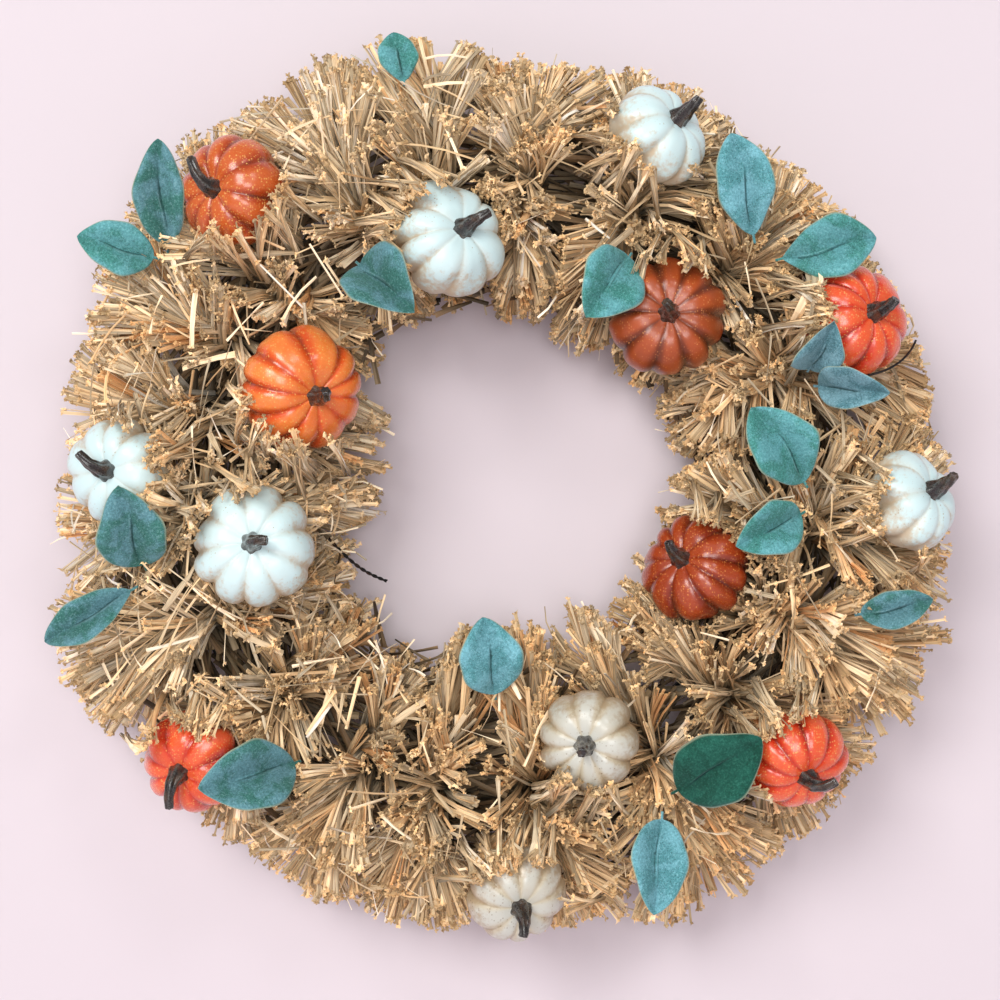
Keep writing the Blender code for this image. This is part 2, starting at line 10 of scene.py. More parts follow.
import bpy
import numpy as np
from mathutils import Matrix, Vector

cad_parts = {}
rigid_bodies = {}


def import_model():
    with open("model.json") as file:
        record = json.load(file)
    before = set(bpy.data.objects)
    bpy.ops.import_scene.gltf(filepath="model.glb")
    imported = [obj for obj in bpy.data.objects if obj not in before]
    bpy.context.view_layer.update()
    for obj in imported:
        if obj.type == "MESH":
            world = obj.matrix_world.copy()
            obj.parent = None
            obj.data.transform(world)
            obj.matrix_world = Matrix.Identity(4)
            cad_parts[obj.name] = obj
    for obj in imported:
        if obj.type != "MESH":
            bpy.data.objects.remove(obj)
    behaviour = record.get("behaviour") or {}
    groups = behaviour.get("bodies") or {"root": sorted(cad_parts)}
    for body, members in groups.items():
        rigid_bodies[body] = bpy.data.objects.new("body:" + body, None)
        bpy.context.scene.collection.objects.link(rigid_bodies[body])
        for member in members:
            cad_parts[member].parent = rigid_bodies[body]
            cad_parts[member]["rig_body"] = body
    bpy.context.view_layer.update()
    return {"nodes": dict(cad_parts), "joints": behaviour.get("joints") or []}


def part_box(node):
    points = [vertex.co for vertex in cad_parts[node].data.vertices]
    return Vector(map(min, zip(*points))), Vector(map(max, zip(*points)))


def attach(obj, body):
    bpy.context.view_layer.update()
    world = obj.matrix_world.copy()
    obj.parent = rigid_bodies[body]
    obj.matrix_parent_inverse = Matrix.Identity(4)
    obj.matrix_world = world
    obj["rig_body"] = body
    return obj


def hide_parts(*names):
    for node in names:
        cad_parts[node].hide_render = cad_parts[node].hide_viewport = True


LOG = logging.getLogger("wreath")
SEED = 20413
BAKE_UV = "OFBake"
STRAW_ROWS = 96  # tone rows in the straw's map
TUFTS = 12
TIE_WIRE, THIN_WIRE = 0.0007, 0.0006  # wire radii in metres
DOOR_GAP = 0.0006  # how far the straw stays before its back plane
SLIVERS = 4  # slivers to a frayed end
NO_TRIS = np.zeros((0, 3), int)
FAN_HUBS = ((0.0, 0.5), (1.0, 0.5))  # map places of a tube's two end points
Colour = tuple[float, float, float]


class Slot(Enum):
    """The record's material slots."""

    STRAW = "straw"
    WIRE = "ring_wire"
    ORANGE = "pumpkin_orange"
    WHITE = "pumpkin_white"
    STEM = "pumpkin_stem"
    LEAF = "leaf_fabric"


def srgb(red: float, green: float, blue: float) -> Colour:
    """A linear colour from display values of 0 to 255.

    Args:
        red, green, blue: display values.
    Returns:
        The linear colour.
    """
    shares = np.array((red, green, blue)) / 255
    linear = np.where(shares <= 0.04045, shares / 12.92, ((shares + 0.055) / 1.055) ** 2.4)
    return tuple(float(v) for v in linear)


def unit(vectors: np.ndarray) -> np.ndarray:
    """Vectors at length one, along the last axis."""
    return vectors / np.maximum(np.linalg.norm(vectors, axis=-1, keepdims=True), 1e-12)


def ray(bearing: np.ndarray) -> np.ndarray:
    """Unit vectors in the wreath's plane at these bearings in degrees, anticlockwise from +X."""
    turn = np.radians(bearing)
    return np.stack((np.cos(turn), np.zeros_like(turn), np.sin(turn)), -1)


def node_points(name: str) -> np.ndarray:
    """The vertices of a CAD node, as an array of points in metres."""
    mesh = bpy.data.objects[name].data
    points = np.zeros(len(mesh.vertices) * 3, np.float32)
    mesh.vertices.foreach_get("co", points)
    return points.reshape(-1, 3).astype(float)


# ---------------------------------------------------------------- shader graphs


class Graph:
    """A material's node tree, built call by call. Every helper returns an output socket."""

    def __init__(self, name: str) -> None:
        """Starts an empty tree with its output and one Principled shader."""
        self.material = bpy.data.materials.new(name)
        self.material.use_nodes = True
        self.tree = self.material.node_tree
        self.tree.nodes.clear()
        self.output = self.tree.nodes.new("ShaderNodeOutputMaterial")
        self.shader = self.tree.nodes.new("ShaderNodeBsdfPrincipled")
        self.tree.links.new(self.shader.outputs[0], self.output.inputs["Surface"])

    def node(self, kind: str, settings: dict | None = None, **inputs):
        """A new node with these settings, whose inputs are linked or set by name.

        Args:
            kind: the node's type name after "ShaderNode".
            settings: properties of the node.
            inputs: a socket to link or a constant for each input, with _ for a blank.
        Returns:
            The node.
        """
        made = self.tree.nodes.new("ShaderNode" + kind)
        for key, value in (settings or {}).items():
            setattr(made, key, value)
        for key, value in inputs.items():
            self.put(made.inputs[key.replace("_", " ")], value)
        return made

    def put(self, socket, value) -> None:
        """Links an output socket to the input, or sets the input to a constant."""
        if isinstance(value, bpy.types.NodeSocket):
            self.tree.links.new(value, socket)
        elif isinstance(value, tuple) and len(value) == 3 and socket.type == "RGBA":
            socket.default_value = (*value, 1.0)
        else:
            socket.default_value = value

    def set(self, **inputs) -> None:
        """Links or sets inputs of the Principled shader."""
        for key, value in inputs.items():
            self.put(self.shader.inputs[key.replace("_", " ")], value)

    def place(self):
        """The object coordinates, in metres."""
        return self.node("TexCoord").outputs["Object"]

    def uv(self):
        """The piece's own map, as separate U and V."""
        made = self.node("UVMap", {"uv_map": BAKE_UV})
        split = self.node("SeparateXYZ", Vector=made.outputs[0])
        return split.outputs[0], split.outputs[1]

    def attribute(self, name: str):
        """A number kept on each vertex."""
        return self.node("Attribute", {"attribute_name": name}).outputs["Fac"]

    def vector(self, x=0.0, y=0.0, z=0.0):
        """A vector from three numbers."""
        return self.node("CombineXYZ", X=x, Y=y, Z=z).outputs[0]

    def noise(self, vector, scale: float, detail: float = 3.0, rough: float = 0.5, warp=0.0):
        """Smooth noise of 0 to 1 at this many cycles to the metre."""
        inputs = {"Vector": vector, "Scale": scale, "Detail": detail, "Roughness": rough}
        return self.node("TexNoise", Distortion=warp, **inputs).outputs["Fac"]

    def cells(self, vector, scale: float):
        """The distance to the nearest scattered point, in cell sizes."""
        return self.node("TexVoronoi", Vector=vector, Scale=scale).outputs["Distance"]

    def cell_value(self, vector, scale: float):
        """A random number of 0 to 1 for each scattered cell."""
        made = self.node("TexVoronoi", Vector=vector, Scale=scale)
        return self.node("SeparateColor", Color=made.outputs["Color"]).outputs[0]

    def maths(self, operation: str, a, b=0.0):
        """One arithmetic step on two numbers."""
        made = self.node("Math", {"operation": operation})
        self.put(made.inputs[0], a)
        self.put(made.inputs[1], b)
        return made.outputs[0]

    def times(self, a, b):
        """The product of two numbers."""
        return self.maths("MULTIPLY", a, b)

    def plus(self, a, b):
        """The sum of two numbers."""
        return self.maths("ADD", a, b)

    def step(self, value, start: float, end: float, low: float = 0.0, high: float = 1.0):
        """A smooth step from low at start to high at end."""
        limits = {"From_Min": start, "From_Max": end, "To_Min": low, "To_Max": high}
        smooth = {"interpolation_type": "SMOOTHSTEP"}
        return self.node("MapRange", smooth, Value=value, **limits).outputs[0]

    def ramp(self, value, stops: list[tuple[float, Colour]]):
        """A colour that runs through these stops."""
        made = self.node("ValToRGB", Fac=value)
        band = made.color_ramp
        while len(band.elements) < len(stops):
            band.elements.new(1.0)
        for element, (at, colour) in zip(band.elements, stops):
            element.position = at
            element.color = (*colour, 1.0)
        return made.outputs["Color"]

    def mix(self, share, a, b, kind: str = "MIX"):
        """Two colours mixed by a share of 0 to 1."""
        made = self.node("Mix", {"data_type": "RGBA", "blend_type": kind, "clamp_factor": True})
        self.put(made.inputs["Factor"], share)
        self.put(made.inputs[6], a)
        self.put(made.inputs[7], b)
        return made.outputs[2]

    def shade(self, colour, value):
        """A colour multiplied by a number."""
        made = self.node("VectorMath", {"operation": "SCALE"}, Scale=value)
        self.put(made.inputs[0], colour)
        return made.outputs[0]

    def bump(self, height, distance: float, strength: float = 1.0, normal=None):
        """A normal tilted by a height of 0 to 1 that stands this many metres proud."""
        made = self.node("Bump", Strength=strength, Distance=distance, Height=height)
        if normal is not None:
            self.put(made.inputs["Normal"], normal)
        return made.outputs[0]


@dataclass(frozen=True)
class StrawFinish:
    """Dried straw: each strand reads one row of a map, along its length and across its width."""

    golden: Colour = srgb(220, 166, 112)
    tan: Colour = srgb(232, 200, 154)
    cream: Colour = srgb(244, 226, 194)
    pale: Colour = srgb(253, 245, 230)

    def build(self) -> bpy.types.Material:
        """The straw material: a hue for each row, fibres along it, painted shade that darkens it
        towards the root, and a light tip.
        """
        g = Graph("straw_fibre")
        along, across = g.uv()
        scaled = g.times(across, float(STRAW_ROWS))
        row = g.maths("FLOOR", scaled)
        share = g.maths("FRACT", scaled)
        own = g.node("TexWhiteNoise", {"noise_dimensions": "1D"}, W=row).outputs["Value"]
        hue = g.ramp(
            across, [(0.0, self.golden), (0.42, self.tan), (0.78, self.cream), (1.0, self.pale)]
        )
        lengthways = g.vector(g.times(along, 5.0), g.times(share, 4.0), row)
        fibre = g.noise(lengthways, 1.0, 3.0, 0.6)
        blotch = g.noise(g.vector(g.times(along, 3.0), row, 0.5), 1.0, 2.0)
        bright = g.plus(g.step(own, 0.0, 1.0, 0.51, 1.29), g.step(fibre, 0.3, 0.7, -0.18, 0.18))
        # painted shade: darker towards the root of each straw, where the bundle shades it
        bright = g.times(bright, g.step(along, 0.0, 0.64, 0.10, 1.12))
        warm = g.mix(g.step(blotch, 0.52, 0.76, 0.0, 0.5), hue, srgb(190, 144, 96))
        tip = g.mix(g.step(along, 0.88, 0.96, 0.0, 0.6), warm, srgb(226, 188, 132))
        g.set(Base_Color=g.shade(tip, bright), Roughness=g.step(fibre, 0.2, 0.8, 0.5, 0.72))
        g.set(Specular_IOR_Level=0.32, Normal=g.bump(fibre, 0.0002, 0.5))
        return g.material


@dataclass(frozen=True)
class PumpkinFinish:
    """A painted pumpkin: a lobe colour, a lighter colour painted on the lobe crowns as light, a
    crease colour painted as shade, dust, and flecks of another paint.
    """

    name: str
    lobe: Colour
    # painted light: a lighter colour for the crowns of the lobes
    warm: Colour
    # painted shade: a darker colour for the creases
    crease: Colour
    fleck: Colour
    dust: Colour
    dust_start: float
    fleck_share: float
    roughness: float
    coat: float

    def build(self) -> bpy.types.Material:
        """Paint with painted light on the lobe crowns and painted shade in the creases, with rubbed
        dust and scattered flecks.
        """
        g = Graph(self.name)
        place = g.place()
        crease = g.attribute("crease")
        edge = g.attribute("edge")
        cloud = g.noise(place, 38.0, 4.0, 0.55)
        fine = g.noise(place, 240.0, 4.0, 0.6)
        # painted light: the lighter colour on the crowns of the lobes, away from the creases, in
        # cloudy patches
        painted_crown_light = g.times(g.step(crease, 0.42, 0.04), g.step(cloud, 0.3, 0.6, 0.55, 1.0))
        paint = g.mix(painted_crown_light, self.lobe, self.warm)
        # painted shade: the crease colour, darker deep in the creases
        deep = g.plus(crease, g.times(g.maths("SUBTRACT", fine, 0.5), 0.5))
        paint = g.mix(g.step(deep, 0.38, 0.95, 0.0, 0.92), paint, self.crease)
        worn = g.plus(g.times(edge, 0.62), g.times(cloud, 0.25))
        worn = g.plus(worn, g.times(crease, 0.16))
        worn = g.plus(worn, g.times(g.maths("SUBTRACT", fine, 0.5), 0.7))
        dusty = g.step(worn, self.dust_start, self.dust_start + 0.3, 0.0, 0.8)
        paint = g.mix(dusty, paint, self.dust)
        dots = g.cells(place, 760.0)
        chance = g.times(g.cell_value(place, 760.0), g.step(cloud, 0.35, 0.65, 0.75, 1.0))
        fleck = g.times(g.step(dots, 0.44, 0.3), g.step(chance, 1 - self.fleck_share, 1.0))
        paint = g.mix(g.times(fleck, g.step(fine, 0.35, 0.65, 0.45, 1.0)), paint, self.fleck)
        rough = g.plus(self.roughness, g.step(fine, 0.3, 0.7, -0.07, 0.09))
        height = g.plus(g.times(fine, 0.6), g.times(fleck, 0.4))
        g.set(Base_Color=paint, Roughness=rough, Coat_Weight=self.coat, Coat_Roughness=0.2)
        g.set(Specular_IOR_Level=0.5, Normal=g.bump(height, 0.0003, 0.6))
        return g.material


@dataclass(frozen=True)
class StemFinish:
    """A glossy dark stem with grey highlights painted along its ridges and a cut end."""

    dark: Colour = srgb(38, 33, 32)
    grey: Colour = srgb(98, 100, 96)
    brown: Colour = srgb(84, 62, 46)

    def build(self) -> bpy.types.Material:
        """Dark paint, with a grey highlight painted along the ridges in patches, and brown in
        patches.
        """
        g = Graph("stem_paint")
        place = g.place()
        ridge = g.attribute("ridge")
        patch = g.noise(place, 160.0, 3.0)
        fine = g.noise(place, 900.0, 3.0)
        paint = g.mix(g.step(patch, 0.45, 0.7, 0.0, 0.7), self.dark, self.brown)
        # painted highlight: grey along the raised ridges, broken up by noise
        painted_ridge_highlight = g.times(g.step(ridge, 0.45, 1.0), g.step(fine, 0.35, 0.6))
        paint = g.mix(g.times(painted_ridge_highlight, 0.55), paint, self.grey)
        g.set(Base_Color=paint, Roughness=g.step(fine, 0.3, 0.7, 0.2, 0.4), Coat_Weight=0.5)
        g.set(Normal=g.bump(fine, 0.0003, 0.5))
        return g.material


@dataclass(frozen=True)
class LeafFinish:
    """Flocked fabric: a dusty face, mottled patches, dark specks and a pale cut edge."""

    name: str
    face: Colour
    patch: Colour
    bloom: Colour
    edge: Colour = srgb(176, 186, 158)

    def build(self) -> bpy.types.Material:
        """Flock whose nap shifts in patches, with painted shade at the midrib and in the veins, and
        painted light at the rim and on the rib.
        """
        g = Graph(self.name)
        place = g.place()
        cloud = g.noise(place, 70.0, 4.0, 0.6, 0.4)
        nap = g.noise(place, 1500.0, 2.0, 0.6)
        mottle = g.noise(place, 760.0, 3.0, 0.66)
        colour = g.mix(g.step(cloud, 0.40, 0.62, 0.0, 0.9), self.face, self.patch)
        colour = g.mix(g.step(mottle, 0.54, 0.68, 0.0, 0.35), colour, self.bloom)
        colour = g.shade(colour, g.step(mottle, 0.32, 0.58, 0.76, 1.08))
        rim = g.attribute("rim")
        # painted shade: darker at the midrib and lighter towards the rim, as light falls on the
        # cupped blade
        colour = g.shade(colour, g.step(rim, 0.0, 0.95, 0.86, 1.1))
        speck = g.times(g.step(g.cells(place, 1150.0), 0.34, 0.16), g.step(cloud, 0.4, 0.5))
        colour = g.mix(g.times(speck, 0.8), colour, srgb(34, 66, 62))
        vein = g.attribute("vein")
        # painted shade in the midrib groove and the side veins, and a painted highlight on the rib
        # beside it
        colour = g.mix(g.step(vein, 0.2, 1.0, 0.0, 0.8), colour, srgb(28, 62, 60))
        colour = g.mix(g.step(vein, -0.2, -0.8, 0.0, 0.35), colour, self.bloom)
        colour = g.mix(g.step(rim, 0.93, 1.0, 0.0, 0.75), colour, self.edge)
        colour = g.shade(colour, g.step(nap, 0.25, 0.75, 0.86, 1.12))
        g.set(Base_Color=colour, Roughness=0.9, Sheen_Weight=0.35, Sheen_Roughness=0.45)
        g.set(Sheen_Tint=srgb(190, 222, 224), Specular_IOR_Level=0.2)
        g.set(Normal=g.bump(nap, 0.0002, 0.7, g.bump(mottle, 0.0004, 0.5)))
        return g.material


@dataclass(frozen=True)
class WireFinish:
    """Dark annealed wire with a dull sheen and a little rust."""

    dark: Colour = srgb(34, 32, 33)
    rust: Colour = srgb(92, 58, 38)

    def build(self) -> bpy.types.Material:
        """Wire paint, worn to a warm brown in patches."""
        g = Graph("dark_wire")
        place = g.place()
        patch = g.noise(place, 120.0, 3.0)
        fine = g.noise(place, 1500.0, 3.0)
        colour = g.mix(g.step(patch, 0.58, 0.75, 0.0, 0.5), self.dark, self.rust)
        g.set(Base_Color=colour, Metallic=0.6, Roughness=g.step(fine, 0.3, 0.7, 0.32, 0.6))
        g.set(Normal=g.bump(fine, 0.0001, 0.6))
        return g.material


# ---------------------------------------------------------------- surfaces


@dataclass
class Surface:
    """Vertices and faces gathered as arrays, with a map and numbers for each vertex."""

    points: list[np.ndarray] = field(default_factory=list)
    quads: list[np.ndarray] = field(default_factory=list)
    tris: list[np.ndarray] = field(default_factory=list)
    maps: list[np.ndarray] = field(default_factory=list)
    marks: dict[str, list[np.ndarray]] = field(default_factory=dict)
    count: int = 0

    def add(self, points, quads, tris, uv, **marks) -> None:
        """Adds one block, whose faces index its own points.

        Args:
            points: (n, 3) places.
            quads: (m, 4) corner numbers.
            tris: (k, 3) corner numbers.
            uv: (n, 2) map places.
            marks: (n,) numbers by name.
        """
        self.points.append(points)
        self.quads.append(quads.reshape(-1, 4) + self.count)
        self.tris.append(tris.reshape(-1, 3) + self.count)
        self.maps.append(uv)
        for name, values in marks.items():
            self.marks.setdefault(name, []).append(values)
        self.count += len(points)

    def build(self, name: str, material: bpy.types.Material, smooth: bool = True):
        """One mesh object of all the blocks, wearing this material."""
        points = np.concatenate(self.points)
        quads = np.concatenate(self.quads)
        tris = np.concatenate(self.tris)
        corners = np.concatenate((quads.ravel(), tris.ravel())).astype(np.int32)
        starts = np.concatenate(
            (np.arange(len(quads)) * 4, len(quads) * 4 + np.arange(len(tris)) * 3)
        ).astype(np.int32)
        mesh = bpy.data.meshes.new(name)
        mesh.vertices.add(len(points))
        mesh.vertices.foreach_set("co", points.astype(np.float32).ravel())
        mesh.loops.add(len(corners))
        mesh.loops.foreach_set("vertex_index", corners)
        mesh.polygons.add(len(starts))
        mesh.polygons.foreach_set("loop_start", starts)
        mesh.polygons.foreach_set("use_smooth", np.full(len(starts), smooth))
        mesh.update(calc_edges=True)
        layer = mesh.uv_layers.new(name=BAKE_UV)
        uv = np.concatenate(self.maps)[corners].astype(np.float32)
        layer.uv.foreach_set("vector", uv.ravel())
        for key, values in self.marks.items():
            kept = mesh.attributes.new(key, "FLOAT", "POINT")
            kept.data.foreach_set("value", np.concatenate(values).astype(np.float32))
        mesh.materials.append(material)
        obj = bpy.data.objects.new(name, mesh)
        bpy.context.scene.collection.objects.link(obj)
        return obj


def ring_faces(rings: int, sides: int) -> np.ndarray:
    """Quads that join each closed ring of points to the next, facing outward for rings that
    turn anticlockwise seen from ahead.

    Args:
        rings: how many rings.
        sides: points to a ring.
    Returns:
        (m, 4) corner numbers.
    """
    i, j = np.meshgrid(np.arange(rings - 1) * sides, np.arange(sides), indexing="ij")
    after = (j + 1) % sides
    quads = np.stack((i + j, i + after, i + sides + after, i + sides + j), -1)
    return quads.reshape(-1, 4)


def grid_uv(u: np.ndarray, v: np.ndarray) -> np.ndarray:
    """Map places of a grid, row by row, and of the two hubs that close it."""
    u, v = np.meshgrid(u, v, indexing="ij")
    return np.concatenate((np.stack((u.ravel(), v.ravel()), -1), FAN_HUBS))


def end_fans(rings: int, sides: int, clockwise: bool = False) -> np.ndarray:
    """Triangles that close the first and the last ring on two hubs, numbered after all rings.

    Args:
        rings: how many rings.
        sides: points to a ring.
        clockwise: True for rings that turn clockwise seen from ahead.
    Returns:
        (2 * sides, 3) corner numbers.
    """
    here = np.arange(sides)
    after = (here + 1) % sides
    hub, last = np.full(sides, rings * sides), (rings - 1) * sides
    first_fan = np.stack((after, here, hub), -1)
    last_fan = np.stack((here + last, after + last, hub + 1), -1)
    fans = np.concatenate((first_fan, last_fan))
    return fans[:, (1, 0, 2)] if clockwise else fans


def frames_along(path: np.ndarray, hint: np.ndarray) -> tuple[np.ndarray, np.ndarray, np.ndarray]:
    """Directions along a path that turn as little as they can: each side vector is the last
    one, less its part along the path.

    Args:
        path: (n, 3) points.
        hint: a vector that the first side leans to.
    Returns:
        (ahead, side, up), each (n, 3).
    """
    ahead = unit(np.gradient(path, axis=0))
    sides = []
    side = hint
    for direction in ahead:
        side = unit(side - direction * np.dot(side, direction))
        sides.append(side)
    sides = np.array(sides)
    return ahead, sides, np.cross(ahead, sides)


def circle(side: np.ndarray, up: np.ndarray, turn: np.ndarray) -> np.ndarray:
    """Unit spokes at each turn, between the side and up vectors of each station."""
    turn = np.asarray(turn)
    return side[:, None] * np.cos(turn)[..., None] + up[:, None] * np.sin(turn)[..., None]


def add_tube(surface: Surface, path: np.ndarray, radius: float, sides: int) -> None:
    """A round tube along a path, closed by a low cone at each end.

    Args:
        surface: what it is added to.
        path: (n, 3) points.
        radius: metres.
        sides: points to a ring.
    """
    ahead, side, up = frames_along(path, np.array((0.3, 0.1, 1.0)))
    turn = np.arange(sides) * 2 * np.pi / sides
    rings = path[:, None] + circle(side, up, turn) * radius
    count = len(path)
    ends = np.stack((path[0] - ahead[0] * radius * 0.4, path[-1] + ahead[-1] * radius * 0.4))
    points = np.concatenate((rings.reshape(-1, 3), ends))
    along = np.repeat(np.linspace(0.02, 0.98, count), sides)
    across = np.tile(np.abs(np.linspace(-1, 1, sides, endpoint=False)), count)
    uv = np.concatenate((np.stack((along, across), -1), FAN_HUBS))
    surface.add(points, ring_faces(count, sides), end_fans(count, sides), uv)


def stretch(count: int, low: float, high: float) -> np.ndarray:
    """(count, 2) rows that all hold the same two numbers."""
    return np.tile((low, high), (count, 1))


def bend(start, middle, end, count: int) -> np.ndarray:
    """Points on the quadratic curve from start to end that middle pulls on."""
    t = np.linspace(0, 1, count)[:, None]
    return (1 - t) ** 2 * start + 2 * t * (1 - t) * middle + t**2 * end


# ---------------------------------------------------------------- pumpkins


@dataclass
class Pumpkin:
    """A ribbed pumpkin and its stem, laid on their CAD solids."""

    node: str
    seed: int
    lobes: int
    lumps: float
    lap_side: float
    lap: float
    squash: float = 0.74
    dimple: float = 0.22
    crease: float = 0.14
    lobe_power: float = 0.6

    def fit(self) -> None:
        """Finds the CAD pumpkin's centre, axis and radius.

        The axis is the direction in which the points spread least, towards the stem. The centre
        is one flattened radius above the lowest point along it.
        """
        points = node_points(self.node)
        stem = node_points(self.node + "_stem")
        middle = points.mean(axis=0)
        _, _, axes = np.linalg.svd(points - middle, full_matrices=False)
        axis = axes[2] if np.dot(axes[2], stem.mean(axis=0) - middle) > 0 else -axes[2]
        offsets = points - middle
        heights = offsets @ axis
        flat = offsets - heights[:, None] * axis
        centre = sum(v * ((flat @ v).max() + (flat @ v).min()) for v in axes[:2]) / 2
        self.radius = float(np.linalg.norm(flat - centre, axis=1).max())
        self.axis = axis
        self.centre = middle + centre + axis * (heights.min() + self.squash * self.radius)
        self.stem_points = stem
        self.side = unit(np.cross(axis, np.array((0.31, 0.22, 0.92))))
        self.up = np.cross(axis, self.side)

    def build(self, material: bpy.types.Material):
        """The ribbed body.

        A ball whose radius falls by the crease depth where |cos| of half the lobe angle runs to
        zero, raised to a small power so that the lobes are round and the creases narrow. The
        lobe angle drifts with three sines, so that no two lobes match. The height is a flattened
        ball's, less a dimple that fades with the distance from the axis, and slow sines lump it.
        """
        rng = np.random.default_rng(self.seed)
        rows, columns = 46, 132
        polar = np.linspace(0.0, math.pi, rows + 2)[1:-1][:, None]
        around = np.linspace(0, 2 * math.pi, columns, endpoint=False)[None, :]
        drift = sum(
            rng.normal(0, 0.5) / (k * self.lobes) * 2 * np.sin(k * around + rng.uniform(0, 6.3))
            for k in (1, 2, 3)
        )
        turn = (around + drift) * self.lobes / 2
        round_lobe = np.abs(np.cos(turn)) ** self.lobe_power
        twin = 0.5 + 0.5 * np.cos(turn * 4)
        fade = np.sin(polar) ** 0.55
        depth = self.crease * fade * (1 + 0.35 * np.sin(around * 2 + rng.uniform(0, 6.3)))
        lump = sum(
            rng.normal(0, self.lumps) * np.sin(k * around + m * polar + rng.uniform(0, 6.3))
            for k, m in ((1, 2), (2, 3), (3, 1), (4, 5), (5, 2))
        )
        swell = (1 - depth * (1 - round_lobe)) * (1 + lump * np.sin(polar) * 0.6)
        swell = swell * (1 - 0.012 * twin * fade * round_lobe)
        out = np.sin(polar) ** 0.92 * swell * self.radius * 1.02
        pit = self.dimple * np.exp(-((np.sin(polar) / 0.38) ** 2)) * (polar < math.pi / 2)
        base_pit = 0.10 * np.exp(-((np.sin(polar) / 0.34) ** 2)) * (polar >= math.pi / 2)
        tall = (np.cos(polar) * (0.5 + 0.5 * swell) - pit + base_pit) * self.radius * self.squash
        points = (
            self.centre
            + self.axis * tall[..., None]
            + self.side * (out * np.cos(around))[..., None]
            + self.up * (out * np.sin(around))[..., None]
        )
        poles = np.stack([points[0].mean(axis=0), points[-1].mean(axis=0)])
        flat = np.concatenate((points.reshape(-1, 3), poles))
        crease = np.broadcast_to((1 - round_lobe) * fade, out.shape)
        edge = np.broadcast_to(np.clip(polar / math.pi * 1.5 - 0.1, 0, 1), out.shape)
        uv = np.stack(np.broadcast_arrays(around / (2 * math.pi), polar / math.pi), -1)
        surface = Surface()
        surface.add(
            flat,
            ring_faces(rows, columns)[:, ::-1],
            end_fans(rows, columns, clockwise=True),
            np.concatenate((uv.reshape(-1, 2), [[0.5, 0.0], [0.5, 1.0]])),
            crease=np.concatenate((crease.ravel(), [0.5, 0.5])),
            edge=np.concatenate((edge.ravel(), [0.0, 1.0])),
        )
        body = surface.build(self.node + "_body", material)
        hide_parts(self.node)
        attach(body, "wreath")
        (Slot.ORANGE if "orange" in self.node else Slot.WHITE).value
        return body

    def build_stem(self, material: bpy.types.Material):
        """The bent stem.

        A tube whose radius falls from its foot to its cut end as an exponential. Six ridges of a
        raised cosine run along it with a slow twist, and its end dips in the middle.
        """
        rng = np.random.default_rng(self.seed + 500)
        foot = self.centre + self.axis * self.radius * (self.squash - self.dimple * 0.74 - 0.05)
        distance = np.linalg.norm(self.stem_points - foot, axis=1)
        tip = self.stem_points[distance > np.quantile(distance, 0.9)].mean(axis=0)
        reach = np.linalg.norm(tip - foot)
        path = bend(foot, foot + self.axis * min(0.017, reach * 0.8), tip, 26)
        ahead, side, up = frames_along(path, self.side)
        t = np.linspace(0, 1, 26)[:, None]
        radius = 0.0025 + 0.0049 * np.exp(-t * 2.6)
        sides = 40
        turn = (np.arange(sides) * 2 * np.pi / sides)[None, :]
        ridges = 6
        ridge = 0.5 + 0.5 * np.cos(ridges * (turn + t * rng.uniform(0.5, 1.4) + rng.uniform(0, 6)))
        radius = radius * (0.85 + 0.2 * ridge**0.8) * (1 + 0.05 * np.sin(t * 19 + turn))
        spokes = circle(side, up, turn)
        rings = path[:, None] + spokes * radius[..., None]
        last_spokes = spokes[-1] * radius[-1][:, None]
        shoulder = path[-1] + ahead[-1] * 0.0005 + last_spokes * 0.9
        inner = path[-1] + ahead[-1] * 0.0004 + last_spokes * 0.62
        rings = np.concatenate((rings, shoulder[None], inner[None]))
        count = len(rings)
        centres = np.stack((path[0], path[-1] - ahead[-1] * 0.0002))
        points = np.concatenate((rings.reshape(-1, 3), centres))
        marks = np.concatenate((ridge, ridge[-1:], ridge[-1:] * 0.3)).ravel()
        uv = grid_uv(np.linspace(0.02, 0.98, count), np.abs(np.linspace(-1, 1, sides)))
        marks = np.concatenate((marks, [0, 0.2]))
        surface = Surface()
        surface.add(points, ring_faces(count, sides), end_fans(count, sides), uv, ridge=marks)
        stem = surface.build(self.node + "_stem_twist", material)
        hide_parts(self.node + "_stem")
        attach(stem, "wreath")
        return stem

    def depth(self, points: np.ndarray) -> np.ndarray:
        """How deep points lie in the pumpkin: 1 on its flattened ball's skin, 0 at its centre."""
        offset = points - self.centre
        height = offset @ self.axis
        flat = np.linalg.norm(offset - height[..., None] * self.axis, axis=-1)
        return np.hypot(flat / self.radius, height / (self.radius * self.squash))


# ---------------------------------------------------------------- leaves


